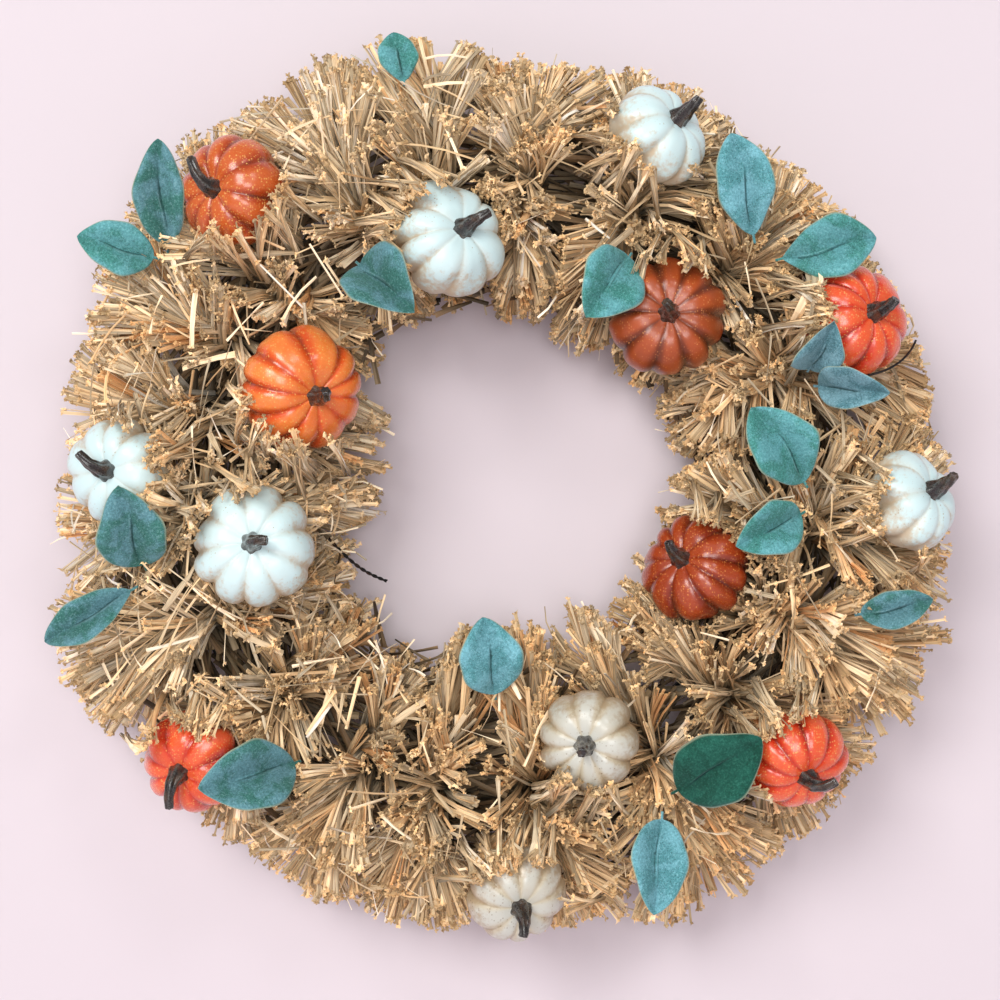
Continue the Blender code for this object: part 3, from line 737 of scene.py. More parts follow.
@dataclass
class Leaf:
    """A flocked leaf, laid on its CAD solid and riding on its pick."""

    node: str
    body: str
    root_hint: np.ndarray
    curl: float
    twist: float
    cup: float
    belly: float
    wave: float = 0.03

    def fit(self) -> None:
        """Finds the CAD leaf's root, tip, width and face.

        The root is the point nearest the pick's joint and the tip is the point farthest from it.
        The face is the direction in which the points spread least, towards the viewer.
        """
        points = node_points(self.node)
        near = np.linalg.norm(points - self.root_hint, axis=1)
        root = points[near < near.min() + 0.0012].mean(axis=0)
        far = np.linalg.norm(points - root, axis=1)
        tip = points[far > far.max() - 0.0008].mean(axis=0)
        self.root, self.length = root, float(np.linalg.norm(tip - root))
        self.along = unit(tip - root)
        _, _, axes = np.linalg.svd(points - points.mean(axis=0), full_matrices=False)
        face = axes[2] - self.along * np.dot(axes[2], self.along)
        self.face = unit(face if face[1] < 0 else -face)
        self.across = np.cross(self.face, self.along)
        spread = (points - root) @ self.across
        self.width = float(spread.max() - spread.min())

    def half(self, share: np.ndarray) -> np.ndarray:
        """Half the leaf's width at shares of its length: a stalk, then a pointed oval."""
        blade = np.clip((share - 0.08) / 0.92, 0, 1)
        oval = np.sin(np.pi * blade**self.belly) ** 0.68
        return 0.0008 * (1 - 0.75 * blade) + (self.width / 2 - 0.0008) * oval

    def build(self, material: bpy.types.Material, seed: int):
        """The leaf as a thin closed shell.

        Across, the blade rises from its midrib by the cup and dips again at its rim. Along, it
        arches as a sine and its tip curls back with a power of the length. Beside a midrib that
        wanders, one half steps up by a tanh that dies away outwards. Slanting grooves of a sine
        make the side veins, and slow sines ruffle the rim. The two faces are one closed loop of
        points at each station.
        """
        rng = np.random.default_rng(seed)
        stations, half_count = 54, 33
        stalk, blade = np.linspace(0, 0.08, 6)[:-1], np.linspace(0.08, 0.999, stations - 5)
        share = np.concatenate((stalk, blade))[:, None]
        top = np.linspace(-1, 1, half_count)[None, :]
        top = np.sign(top) * np.abs(top) ** 1.7
        width = self.half(share)
        drift = 0.06 * np.sin(share * 5 + rng.uniform(0, 6)) * self.width * (share > 0.1)
        ruffle = 1 + self.wave * np.sin(share * 17 + rng.uniform(0, 6)) * np.abs(top) ** 3
        lateral = top * width * ruffle + drift * np.sin(np.pi * np.clip(share, 0, 1)) * 0.5
        blade = np.clip((share - 0.10) / 0.2, 0, 1)
        rise = 4.4 + 1.4 * np.sign(top) * math.sin(seed)
        cup = self.cup * np.abs(top) ** 1.15 * width * rise - 0.34 * np.abs(top) ** 4 * width
        arch = 0.07 * self.length * np.sin(np.pi * share)
        curl = -self.curl * self.length * np.clip(share - 0.45, 0, 1) ** 2.2 * 3.0
        turn = self.twist * (share - 0.3)
        wave = 0.0011 * np.sin(share * 11 + top * 2.2 + rng.uniform(0, 6)) * np.abs(top) * blade
        fade = blade * np.clip((0.8 - share) * 5, 0, 1)
        off = top * width - 0.10 * width * np.sin(share * 4.5 + rng.uniform(0, 6))
        lap = (0.5 + 0.5 * np.tanh(off / 0.0004)) * np.exp(-np.abs(off) / 0.0055) * fade
        rib = np.exp(-(((off - 0.0005) / 0.0005) ** 2)) * fade
        groove = np.exp(-(((off + 0.0006) / 0.0006) ** 2)) * fade
        slant = np.sin((share * 15 - np.abs(top) * 3.4) * 2 * np.pi / 2.6)
        side_vein = np.clip(slant, 0.86, 1) * 7.14 - 6.14
        side_vein = side_vein * blade * np.clip((0.8 - np.abs(top)) * 4, 0, 1) * (share < 0.9)
        height = arch + curl + cup + wave + 0.0019 * lap - 0.0004 * groove - 0.0003 * side_vein
        height = height + turn * top * width
        thick = np.full_like(height, 0.00035) * (1 - 0.55 * np.abs(top) ** 6)
        thick = thick + 0.0006 * (share < 0.10) * (1 - np.abs(top))
        forward = np.broadcast_to(share * self.length, height.shape)
        upper = np.stack((forward, lateral, height + thick), -1)
        lower = np.stack((forward, lateral, height - thick), -1)
        loop = np.concatenate((upper, lower[:, ::-1]), axis=1)
        place = (
            self.root
            + loop[..., :1] * self.along
            + loop[..., 1:2] * self.across
            + loop[..., 2:] * self.face
        )
        count, sides = place.shape[:2]
        ends = np.stack((place[0].mean(axis=0), place[-1].mean(axis=0)))
        v = np.linspace(0.02, 0.48, half_count)
        v = np.concatenate((v, v + 0.5))
        uv = grid_uv(share[:, 0] * 0.96 + 0.02, v)
        # painted shade in the grooves and a painted highlight on the rib, which the flock's colour
        # reads
        vein = np.clip(groove - 0.8 * rib + 0.5 * side_vein, -1, 1)
        vein = np.concatenate((vein, vein[:, ::-1] * 0.5), axis=1)
        rim = np.broadcast_to(np.abs(top), height.shape)
        rim = np.concatenate((rim, rim[:, ::-1]), axis=1)
        surface = Surface()
        surface.add(
            np.concatenate((place.reshape(-1, 3), ends)),
            ring_faces(count, sides)[:, ::-1],
            end_fans(count, sides, clockwise=True),
            uv,
            vein=np.concatenate((vein.ravel(), [0, 0])),
            rim=np.concatenate((rim.ravel(), [1, 1])),
        )
        blade_piece = surface.build(self.node + "_blade", material)
        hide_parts(self.node)
        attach(blade_piece, self.body)
        return blade_piece

    def press(self, points: np.ndarray, gap: float = 0.003) -> np.ndarray:
        """Points that would cut through or cover the blade, moved just behind it.

        Args:
            points: (..., 3) places.
            gap: how far behind the blade they end, in metres.
        Returns:
            The places after the move.
        """
        offset = points - self.root
        along = offset @ self.along
        share = np.clip(along / self.length, 0, 1)
        height = offset @ self.face - 0.07 * self.length * np.sin(np.pi * share)
        inside = (along > 0.24 * self.length) & (along < 1.03 * self.length)
        inside &= np.abs(offset @ self.across) < self.half(share) + 0.0012
        excess = np.where(inside, np.maximum(height + gap, 0), 0)
        return points - excess[..., None] * self.face


# ---------------------------------------------------------------- straw


@dataclass(frozen=True)
class Tie:
    """One tied bundle: its bearing in degrees, how far its two ends reach from the centre in
    metres, and its tone from 0, golden, to 1, pale."""

    bearing: float
    outer: float
    inner: float
    tone: float


TIES = (
    Tie(353, 0.281, 0.104, 0.56), Tie(23, 0.275, 0.112, 0.50), Tie(44, 0.274, 0.108, 0.54),
    Tie(65, 0.277, 0.102, 0.58), Tie(86, 0.272, 0.108, 0.60), Tie(102, 0.289, 0.122, 0.62),
    Tie(117, 0.294, 0.120, 0.64), Tie(138, 0.297, 0.120, 0.62), Tie(152, 0.291, 0.088, 0.62),
    Tie(166, 0.284, 0.080, 0.64), Tie(184, 0.284, 0.082, 0.66), Tie(203, 0.299, 0.108, 0.60),
    Tie(223, 0.284, 0.110, 0.54), Tie(243, 0.286, 0.120, 0.52), Tie(256, 0.279, 0.092, 0.50),
    Tie(276, 0.277, 0.089, 0.44), Tie(299, 0.292, 0.090, 0.48), Tie(317, 0.287, 0.098, 0.48),
    Tie(335, 0.290, 0.100, 0.50),
)  # fmt: skip


@dataclass(frozen=True)
class StrawForm:
    """The straw's outline, from the CAD boxes: a ring with a D-shaped section."""

    centre: np.ndarray
    front: float
    back: float
    side: float = -0.008
    tie_radius: float = 0.193

    def reaches(self) -> tuple[np.ndarray, np.ndarray, np.ndarray, np.ndarray]:
        """The ties' bearings, outer and inner reaches and tones, in order of bearing."""
        ordered = sorted(TIES, key=lambda tie: tie.bearing)
        table = np.array([(tie.bearing, tie.outer, tie.inner, tie.tone) for tie in ordered])
        return table[:, 0], table[:, 1], table[:, 2], table[:, 3]

    def reach_at(self, bearing: np.ndarray) -> tuple[np.ndarray, np.ndarray]:
        """The outer and inner reach between ties, in proportion to the bearing."""
        bearings, outer, inner, _ = self.reaches()
        return (
            np.interp(bearing % 360, bearings, outer, period=360),
            np.interp(bearing % 360, bearings, inner, period=360),
        )

    def shell(self, bearing, turn, scale, outer=None, inner=None) -> np.ndarray:
        """Points on the D-shaped shell.

        Args:
            bearing: degrees round the wreath.
            turn: degrees round the section: 0 outward, 90 to the viewer, 180 inward.
            scale: a share of the section's size about its middle.
            outer, inner: reaches from the centre, or None for those at the bearing.
        Returns:
            (n, 3) points.
        """
        if outer is None:
            outer, inner = self.reach_at(bearing)
        middle, half = (outer + inner) / 2, (outer - inner) / 2
        angle = np.radians(turn)
        radius = middle + half * np.cos(angle) * scale
        bulge = -(self.front + self.side) * np.sin(angle) * scale
        lift = np.where(np.sin(angle) > 0, bulge, -0.05 * np.sin(angle))
        points = self.centre + ray(bearing) * radius[..., None]
        points[..., 1] += self.side + lift
        return points


@dataclass
class Strands:
    """Straws as arrays: three control points for each, the stretch that is used, its width,
    tone and frayed end, and the stretch of the straw map's painted shade that it reads."""

    curve: np.ndarray
    span: np.ndarray
    width: np.ndarray
    tone: np.ndarray
    fray: np.ndarray
    shade: np.ndarray

    def fields(self) -> tuple[np.ndarray, ...]:
        """All the arrays, in order."""
        return (self.curve, self.span, self.width, self.tone, self.fray, self.shade)

    def pick(self, kept: np.ndarray) -> "Strands":
        """The strands where kept holds."""
        return Strands(*(values[kept] for values in self.fields()))

    def join(self, other: "Strands") -> "Strands":
        """These strands and others together."""
        return Strands(*(np.concatenate(pair) for pair in zip(self.fields(), other.fields())))

    def path(self, stations: int) -> np.ndarray:
        """(n, stations, 3) points on each quadratic curve, evenly over its span."""
        t = np.linspace(0, 1, stations)[None, :] ** 0.9
        t = (self.span[:, :1] * (1 - t) + self.span[:, 1:] * t)[..., None]
        a, b, c = (self.curve[:, None, k] for k in range(3))
        return (1 - t) ** 2 * a + 2 * t * (1 - t) * b + t**2 * c


@dataclass
class StrawWork:
    """Sows straws round the ties of the ring, parts them round the trimmings and builds them."""

    form: StrawForm
    pumpkins: list[Pumpkin]
    leaves: list[Leaf]
    clumps: int = 2350
    strands_each: int = 11
    stations: int = 4

    def sow(self, rng: np.random.Generator) -> Strands:
        """Straws that leave their tie together and flare out to the shell.

        Each clump picks a tie, a turn round the section and a slide along the ring. Its turn is
        pushed away from the viewer near the tie, which opens the dark valley there. A straw's
        path is the quadratic curve from the tie to its own point of the shell, and it leaves the
        tie square to the ring. Straws of a clump stay nearly parallel.
        """
        bearings, outer, inner, tones = self.form.reaches()
        after = (np.roll(bearings, -1) - bearings) % 360 / 2
        before = np.roll(after, 1)
        count = self.clumps
        tie = rng.choice(len(bearings), count, p=(before + after) / (before + after).sum())
        slide = rng.uniform(-1.1, 1.1, count)
        slide = slide * np.where(slide < 0, before[tie], after[tie])
        outward = rng.random(count) < 0.55
        spread = rng.random(count) ** 0.9
        turn = np.where(outward, -16 + 104 * spread, 196 - 104 * spread)
        pinch = np.exp(-((slide / 4.2) ** 2))
        gap = 3 + 7 * pinch
        flat = rng.random(count) < 0.17
        outer_back, inner_back = rng.uniform(-16, 12, count), rng.uniform(168, 196, count)
        turn = np.where(flat, np.where(outward, outer_back, inner_back), turn)
        near = np.abs(turn - 90) < gap
        aside = np.where(outward, -1, 1) * (gap + rng.uniform(0, 9, count))
        turn = np.where(near, 90 + aside, turn)
        scale = np.where(
            rng.random(count) < 0.74,
            rng.normal(0.985, 0.035, count),
            rng.uniform(0.62, 0.92, count),
        )
        scale = np.where(flat, rng.uniform(0.55, 1.0, count), scale)
        scale = scale * (1 - 0.07 * pinch * np.abs(np.sin(np.radians(turn))))
        tone = tones[tie] + rng.normal(0, 0.12, count)
        tone = np.where(rng.random(count) < 0.05, rng.uniform(0.0, 0.14, count), tone)
        root_shift = rng.normal(0, 0.0055, (count, 3)) * (1.0, 0.8, 1.0)
        bow = rng.normal(0, 0.0050, (count, 3))
        pull = rng.uniform(0.34, 0.56, count)
        clump = np.repeat(np.arange(count), self.strands_each)
        total = len(clump)
        loose = np.where(rng.random(total) < 0.06, 4.0, 1.0)
        slide = slide[clump] + rng.normal(0, 0.85, total) * loose
        turn = turn[clump] + rng.normal(0, 2.5, total) * loose
        scale = scale[clump] * (1 + rng.normal(0, 0.022, total))
        tie = tie[clump]
        side = np.abs(slide) / np.where(slide < 0, before[tie], after[tie])
        notch = np.clip(side, 0, 1.1) ** 4
        reach = outer[tie] + 0.005 - 0.009 * notch, inner[tie] + 0.016 * notch
        tip = self.form.shell(bearings[tie] + slide, turn, scale, *reach)
        square = ray(bearings[tie])
        root = self.form.centre + square * self.form.tie_radius + root_shift[clump]
        root = root + rng.normal(0, 0.0013, (total, 3)) + (0.0, -0.014, 0.0)
        angle = np.radians(turn)
        leave = square * np.cos(angle)[:, None]
        leave[:, 1] -= np.sin(angle)
        length = np.linalg.norm(tip - root, axis=1)
        middle = root + leave * (length * pull[clump])[:, None]
        middle = middle + bow[clump] + rng.normal(0, 0.0010, (total, 3)) * loose[:, None]
        width = np.clip(rng.lognormal(math.log(0.0018), 0.26, total), 0.0011, 0.0031)
        width = np.where(rng.random(total) < 0.06, rng.uniform(0.0032, 0.0046, total), width)
        tone = np.clip(tone[clump] + rng.normal(0, 0.09, total), 0.01, 0.99)
        span = stretch(total, 0.10, 1.0)
        # painted shade: near black at the root, full light by the tip
        shade = stretch(total, 0.04, 0.93)
        fray = np.where(flat[clump] | (scale < 0.84), 0.0, 1.0)
        return Strands(np.stack((root, middle, tip), 1), span, width, tone, fray, shade)

    def lay(self, rng: np.random.Generator, count: int) -> Strands:
        """Cut straws that lie across the others: short bows just above the shell, any way round,
        and thickest on the left."""
        bearing = np.where(
            rng.random(count) < 0.5,
            rng.normal(190, 30, count),
            rng.uniform(0, 360, count),
        )
        turn = rng.uniform(28, 152, count)
        heading = rng.uniform(0, 2 * np.pi, count)
        step = rng.uniform(0.009, 0.022, count)[:, None] * np.array((-1.0, 0.0, 1.0))[None, :]
        slide = np.degrees(step * np.cos(heading)[:, None] / 0.2)
        climb = np.degrees(step * np.sin(heading)[:, None] / 0.09)
        scale = rng.uniform(0.9, 1.01, count)[:, None] + np.array((-0.04, 0.03, 0.02))[None, :]
        curve = self.form.shell(bearing[:, None] + slide, turn[:, None] + climb, scale)
        width = rng.uniform(0.0011, 0.0023, count)
        width = np.where(rng.random(count) < 0.07, rng.uniform(0.0030, 0.0044, count), width)
        tone = np.clip(rng.normal(0.60, 0.16, count), 0.02, 0.99)
        span = stretch(count, 0.0, 1.0)
        shade = stretch(count, 0.6, 0.93)
        return Strands(curve, span, width, tone, rng.integers(0, 2, count).astype(float), shade)

    def strays(self, rng: np.random.Generator, count: int) -> Strands:
        """Long thin straws that stand out past the rest in a loose bend."""
        bearing = rng.uniform(0, 360, count)
        turn = np.where(
            rng.random(count) < 0.6,
            rng.uniform(-8, 60, count),
            rng.uniform(110, 186, count),
        )
        start = self.form.shell(bearing, turn, np.full(count, 0.72))
        end = self.form.shell(
            bearing + rng.normal(0, 6, count),
            turn + rng.normal(0, 14, count),
            rng.uniform(1.02, 1.11, count),
        )
        pull = (start + end) / 2 + rng.normal(0, 0.007, (count, 3))
        span = stretch(count, 0.0, 1.0)
        shade = stretch(count, 0.6, 0.9)
        tone = rng.uniform(0.5, 0.98, count)
        width = rng.uniform(0.0008, 0.0016, count)
        return Strands(np.stack((start, pull, end), 1), span, width, tone, np.zeros(count), shade)

    def core(self, rng: np.random.Generator, count: int) -> Strands:
        """Broad straws packed deep along the ring and painted dark with painted shade, which stop the
        view through.
        """
        bearing = rng.uniform(0, 360, count)
        reach = np.where(
            rng.random(count) < 0.6,
            rng.normal(0, 0.020, count),
            rng.uniform(-0.075, 0.070, count),
        )
        heading = rng.normal(0, 0.0067, (count, 1)) * np.array((-1.0, 0.0, 1.0))[None, :]
        slide = np.broadcast_to(np.array((-6.0, 0.0, 6.0)), (count, 3))
        radius = self.form.tie_radius + reach[:, None] + heading
        curve = self.form.centre + ray(bearing[:, None] + slide) * radius[..., None]
        curve[..., 1] += rng.uniform(-0.028, 0.001, count)[:, None]
        width = rng.uniform(0.0026, 0.0050, count)
        tone = rng.uniform(0.15, 0.6, count)
        span = stretch(count, 0.0, 1.0)
        # painted shade: these straws read only the dark root end of the map
        shade = stretch(count, 0.06, 0.30)
        return Strands(curve, span, width, tone, np.zeros(count), shade)

    def part(self, strands: Strands, rng: np.random.Generator) -> Strands:
        """Cuts straws short where they would cross a pumpkin's face.

        A straw ends where it first comes in front of the face. On the side that the straw laps
        over, it may go further in, by the pumpkin's lap times the cosine of the angle from that
        side. Straws left with little length go, as do those that start in a pumpkin or cross
        the hanging eye.
        """
        samples = 15
        path = strands.path(samples)
        kept = np.ones(len(path), bool)
        last = np.full(len(path), samples - 1)
        order = np.arange(samples)[None, :]
        for pumpkin in self.pumpkins:
            depth = pumpkin.depth(path)
            kept &= depth[:, 0] > 0.8
            offset = path - pumpkin.centre
            flat = np.hypot(offset[..., 0], offset[..., 2]) / pumpkin.radius
            side = np.arctan2(offset[..., 2], offset[..., 0]) - math.radians(pumpkin.lap_side)
            limit = 1.02 - pumpkin.lap * np.clip(np.cos(side), 0, 1) ** 0.7
            limit = limit - rng.exponential(0.035, len(path))[:, None]
            over = (offset[..., 1] < 0.25 * pumpkin.radius) & (flat < limit)
            first = np.where(over, order, samples).min(axis=1)
            last = np.minimum(last, first - 1)
        kept &= last >= 4
        hanging = (np.abs(path[..., 0]) < 0.019) & (path[..., 2] > -0.045) & (path[..., 1] > -0.008)
        kept &= ~hanging.any(axis=1)
        t = (np.clip(last, 0, None) / (samples - 1)) ** 0.9
        start, end = strands.span.T
        span = np.stack((start, start * (1 - t) + end * t), -1)
        cut = Strands(strands.curve, span, strands.width, strands.tone, strands.fray, strands.shade)
        return cut.pick(kept)

    def lap_over(self, rng: np.random.Generator) -> Strands:
        """Straws that lean over the pumpkins' rims from the side that each is lapped on.

        Each clump starts beside its pumpkin and behind its middle, rises past the rim and ends
        over the face, at most the pumpkin's lap in from the rim.
        """
        made = []
        for pumpkin in self.pumpkins:
            clumps = int(34 * pumpkin.lap) + 3
            swerve = rng.normal(0, 0.62, clumps)
            turn = np.radians(pumpkin.lap_side) + swerve
            drift = rng.normal(0, 0.45, clumps)
            depth = pumpkin.lap * rng.uniform(0.0, 1.0, clumps) * np.clip(np.cos(swerve), 0.1, 1)
            start, rise = rng.uniform(1.2, 1.75, clumps), rng.uniform(0.55, 1.0, clumps)
            clump = np.repeat(np.arange(clumps), 8)
            total = len(clump)
            radius = pumpkin.radius

            def at(angle: np.ndarray, out: np.ndarray, forward: np.ndarray) -> np.ndarray:
                """Points beside the pumpkin, by angle and by shares of its radius."""
                place = np.stack((np.cos(angle) * out, -forward, np.sin(angle) * out), -1)
                return pumpkin.centre + place * radius

            spread = rng.normal(0, 0.07, total)
            low = rng.uniform(-0.5, -0.1, clumps)[clump] + spread * 0.2
            root = at(turn[clump] + drift[clump] * 0.4, start[clump], low)
            knee_out = 1.16 + 0.3 * (start[clump] - 1.2)
            knee = at(turn[clump] + drift[clump] * 0.2, knee_out, rise[clump] * 0.75)
            end = at(
                turn[clump] + spread + drift[clump] * -0.1,
                1.04 - depth[clump] + rng.normal(0, 0.05, total),
                rise[clump] + rng.normal(0, 0.06, total),
            )
            curve = np.stack((root, knee, end), 1) + rng.normal(0, 0.0014, (total, 3, 3))
            width = np.clip(rng.lognormal(math.log(0.0019), 0.28, total), 0.0011, 0.0034)
            tone = np.clip(rng.normal(0.55, 0.16, total), 0.02, 0.98)
            span = stretch(total, 0.0, 1.0)
            shade = stretch(total, 0.25, 0.93)
            made.append(Strands(curve, span, width, tone, np.ones(total), shade))
        return reduce(Strands.join, made)

    def husks(self, rng: np.random.Generator) -> Strands:
        """Three broad pale husks that fold over the left of one pumpkin, in straws cut wide."""
        pumpkin = next(p for p in self.pumpkins if p.node == "pumpkin_orange_4")
        starts = np.array(((-1.1, -0.3, -0.6), (-1.3, -0.2, -0.3), (-1.15, -0.3, 0.0)))
        knees = np.array(((-0.72, -1.15, 0.1), (-1.0, -1.0, 0.2), (-0.55, -1.0, 0.35)))
        ends = np.array(((-0.95, -0.62, 0.9), (-0.8, -0.6, 0.8), (-0.75, -0.5, 1.0)))
        curve = pumpkin.centre + np.stack((starts, knees, ends), 1) * pumpkin.radius
        count = len(curve)
        span = stretch(count, 0.0, 1.0)
        shade = stretch(count, 0.45, 0.8)
        width = np.array((0.0080, 0.0065, 0.0050))
        return Strands(curve, span, width, rng.uniform(0.6, 0.78, count), np.zeros(count), shade)

    def settle(self, path: np.ndarray) -> np.ndarray:
        """Stations moved out to the skin of any pumpkin, behind any leaf and before the door."""
        for pumpkin in self.pumpkins:
            push = np.maximum(1.03 / np.maximum(pumpkin.depth(path), 0.3), 1.0)
            path = pumpkin.centre + (path - pumpkin.centre) * push[..., None]
        for leaf in self.leaves:
            path = leaf.press(path)
        path[..., 1] = np.minimum(path[..., 1], self.form.back - DOOR_GAP)
        return path

    def weave(self, surface: Surface, strands: Strands, rng: np.random.Generator) -> None:
        """Adds each straw as a flat folded ribbon, and its frayed end as bent slivers.

        A ribbon's section is a flat diamond that rolls as it goes. Its side is square to its path
        and to a fixed random vector. The last station flares and rolls the most. A sliver is a
        three-sided spike with one bend, which leaves the straw's end at a random slant.
        """
        path = self.settle(strands.path(self.stations))
        count, stations = path.shape[:2]
        ahead = unit(np.gradient(path, axis=1))
        random = unit(rng.normal(0, 1, (count, 1, 3)))
        side = unit(np.cross(ahead, random))
        up = np.cross(ahead, side)
        first_roll, twist = rng.uniform(0, 6.3, (count, 1)), rng.normal(0, 0.35, (count, 1))
        roll = first_roll + twist * np.arange(stations)[None, :]
        a = side * np.cos(roll)[..., None] + up * np.sin(roll)[..., None]
        b = np.cross(ahead, a)
        swell = np.ones(stations)
        swell[-1], swell[-2] = 1.2, 0.95
        half = strands.width[:, None, None] / 2 * swell[None, :, None]
        thin = half * rng.uniform(0.22, 0.5, (count, 1, 1))
        ring = np.stack((path + a * half, path + b * thin, path - a * half, path - b * thin), 2)
        row = np.floor(strands.tone * STRAW_ROWS)
        t = np.linspace(0, 1, stations)[None, :]
        # u runs over the straw's stretch of painted shade in the map
        t = strands.shade[:, :1] * (1 - t) + strands.shade[:, 1:] * t
        nudge = np.array((0.0, 0.012, 0.0, -0.012))
        u = np.broadcast_to(t[..., None] + nudge, (count, stations, 4))
        shares = np.array((0.08, 0.5, 0.92, 0.5))
        v = np.broadcast_to((row[:, None, None] + shares) / STRAW_ROWS, u.shape)
        each = stations * 4
        caps = np.array(((3, 2, 1, 0), tuple(each - 4 + k for k in range(4))))
        template = np.concatenate((ring_faces(stations, 4), caps))
        quads = template[None] + (np.arange(count) * each)[:, None, None]
        uv = np.stack((u, v), -1).reshape(-1, 2)
        surface.add(ring.reshape(-1, 3), quads, NO_TRIS, uv)
        frayed = strands.fray > 0
        tip, width = path[frayed, -1], strands.width[frayed]
        self.fray(surface, tip, width, ahead[frayed, -1], a[frayed, -1], row[frayed], rng)

    def fray(self, surface: Surface, tip, width, ahead, side, row, rng) -> None:
        """Adds the frayed ends: four slivers to a straw, each a spike with one sharp bend."""
        count, each = len(tip), SLIVERS
        shape = (count, each, 3)
        width = width[:, None, None]
        across = side[:, None] * np.linspace(-0.42, 0.42, each)[None, :, None] * width
        base = tip[:, None] + across - ahead[:, None] * 0.0006
        first = unit(ahead[:, None] + rng.normal(0, 0.50, shape) + across / width * 1.3)
        second = unit(first * 0.1 + rng.normal(0, 1.0, shape))
        length = rng.uniform(0.0009, 0.0019, (count, each, 1))
        knee = base + first * length
        apex = knee + second * length * rng.uniform(0.7, 1.3, (count, each, 1))
        thick = (width * rng.uniform(0.24, 0.40, (count, each, 1))).clip(0.0004, 0.0009)
        a = unit(np.cross(first, rng.normal(0, 1, shape)))
        b = np.cross(first, a)
        turn = np.arange(3) * 2 * np.pi / 3
        spokes = a[..., None, :] * np.cos(turn)[:, None] + b[..., None, :] * np.sin(turn)[:, None]
        foot = base[..., None, :] + spokes * thick[..., None] * 0.8
        bulb = knee[..., None, :] + spokes * thick[..., None] * 1.3
        block = np.concatenate((foot, bulb, apex[..., None, :]), axis=2)
        points = block.reshape(-1, 3)
        start = (np.arange(count * each) * 7)[:, None, None]
        quads = np.array(((0, 1, 4, 3), (1, 2, 5, 4), (2, 0, 3, 5)))[None] + start
        tris = np.array(((2, 1, 0), (3, 4, 6), (4, 5, 6), (5, 3, 6)))[None] + start
        outer = np.array((0.915, 0.925, 0.915, 0.955, 0.965, 0.955, 0.99))
        u = np.broadcast_to(outer, (count, each, 7))
        inner = np.array((0.1, 0.5, 0.9, 0.1, 0.5, 0.9, 0.5))
        v = np.broadcast_to((row[:, None, None] + inner) / STRAW_ROWS, u.shape)
        surface.add(points, quads, tris, np.stack((u, v), -1).reshape(-1, 2))

    def build(self, material: bpy.types.Material) -> list:
        """The twelve tufts, each of the straws whose tips lie in its part of the ring."""
        rng = np.random.default_rng(SEED)
        strands = self.sow(rng).join(self.lay(rng, 520)).join(self.strays(rng, 230))
        strands = strands.join(self.core(rng, 3000))
        strands = self.part(strands, rng).join(self.lap_over(rng)).join(self.husks(rng))
        tip = strands.curve[:, 2] - self.form.centre
        bearing = np.degrees(np.arctan2(tip[:, 2], tip[:, 0])) % 360
        sector = ((bearing + 15) // 30 % 12).astype(int)
        made = []
        for index in range(TUFTS):
            surface = Surface()
            self.weave(surface, strands.pick(sector == index), np.random.default_rng(SEED + index))
            node = f"raffia_tuft_{index + 1:02d}"
            piece = surface.build(node + "_straw", material, smooth=False)
            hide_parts(node)
            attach(piece, "wreath")
            made.append(piece)
            LOG.info("%s: %d faces", piece.name, len(piece.data.polygons))
        return made


# ---------------------------------------------------------------- wires


@dataclass
class WireWork:
    """The wires that tie the straw down, and the loose ends that show."""

    form: StrawForm

    def coil(self, surface: Surface, bearing: float, rng: np.random.Generator) -> None:
        """One tie: a helix of nearly three turns round the waist of a bundle."""
        t = np.linspace(0, 1, 44)
        turn = t * 2 * np.pi * 2.7 + rng.uniform(0, 6)
        tangent = ray(np.array(bearing + 90.0))
        out = ray(np.array(bearing))
        centre = self.form.centre + out * self.form.tie_radius + np.array((0.0, -0.016, 0.0))
        path = (
            centre
            + tangent * (np.cos(turn) * 0.010)[:, None]
            + np.array((0.0, 1.0, 0.0)) * (np.sin(turn) * 0.011)[:, None]
            + out * ((t - 0.5) * 0.008)[:, None]
        )
        add_tube(surface, path, TIE_WIRE, 6)

    def twisted_end(self, surface: Surface, start: np.ndarray, end: np.ndarray) -> None:
        """Two thin wires twisted round each other from start to end."""
        t = np.linspace(0, 1, 40)
        axis = unit(end - start)
        side = unit(np.cross(axis, np.array((0.2, 1.0, 0.1))))
        up = np.cross(axis, side)
        sag = np.array((0.0, 0.0, -0.004)) * (np.sin(t * np.pi))[:, None]
        for phase in (0.0, np.pi):
            turn = t * 2 * np.pi * 5 + phase
            path = start + (end - start) * t[:, None] + sag
            round_axis = side * np.cos(turn)[:, None] + up * np.sin(turn)[:, None]
            add_tube(surface, path + round_axis * THIN_WIRE, THIN_WIRE, 6)

    def build(self, material: bpy.types.Material) -> None:
        """All the ties as one piece, and the loose ends as another."""
        rng = np.random.default_rng(SEED + 77)
        ties = Surface()
        for tie in TIES:
            self.coil(ties, tie.bearing, rng)
        tie_piece = ties.build("tie_wires", material)
        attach(tie_piece, "wreath")
        ends = Surface()
        centre = self.form.centre
        self.twisted_end(ends, centre + (-0.112, -0.028, -0.032), centre + (-0.075, -0.030, -0.059))
        stops = np.array(((0.192, -0.078, 0.068), (0.236, -0.098, 0.062), (0.251, -0.078, 0.090)))
        add_tube(ends, bend(*(centre + stops), 24), TIE_WIRE, 8)
        end_piece = ends.build("loose_wire_ends", material)
        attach(end_piece, "wreath")


# ---------------------------------------------------------------- the set


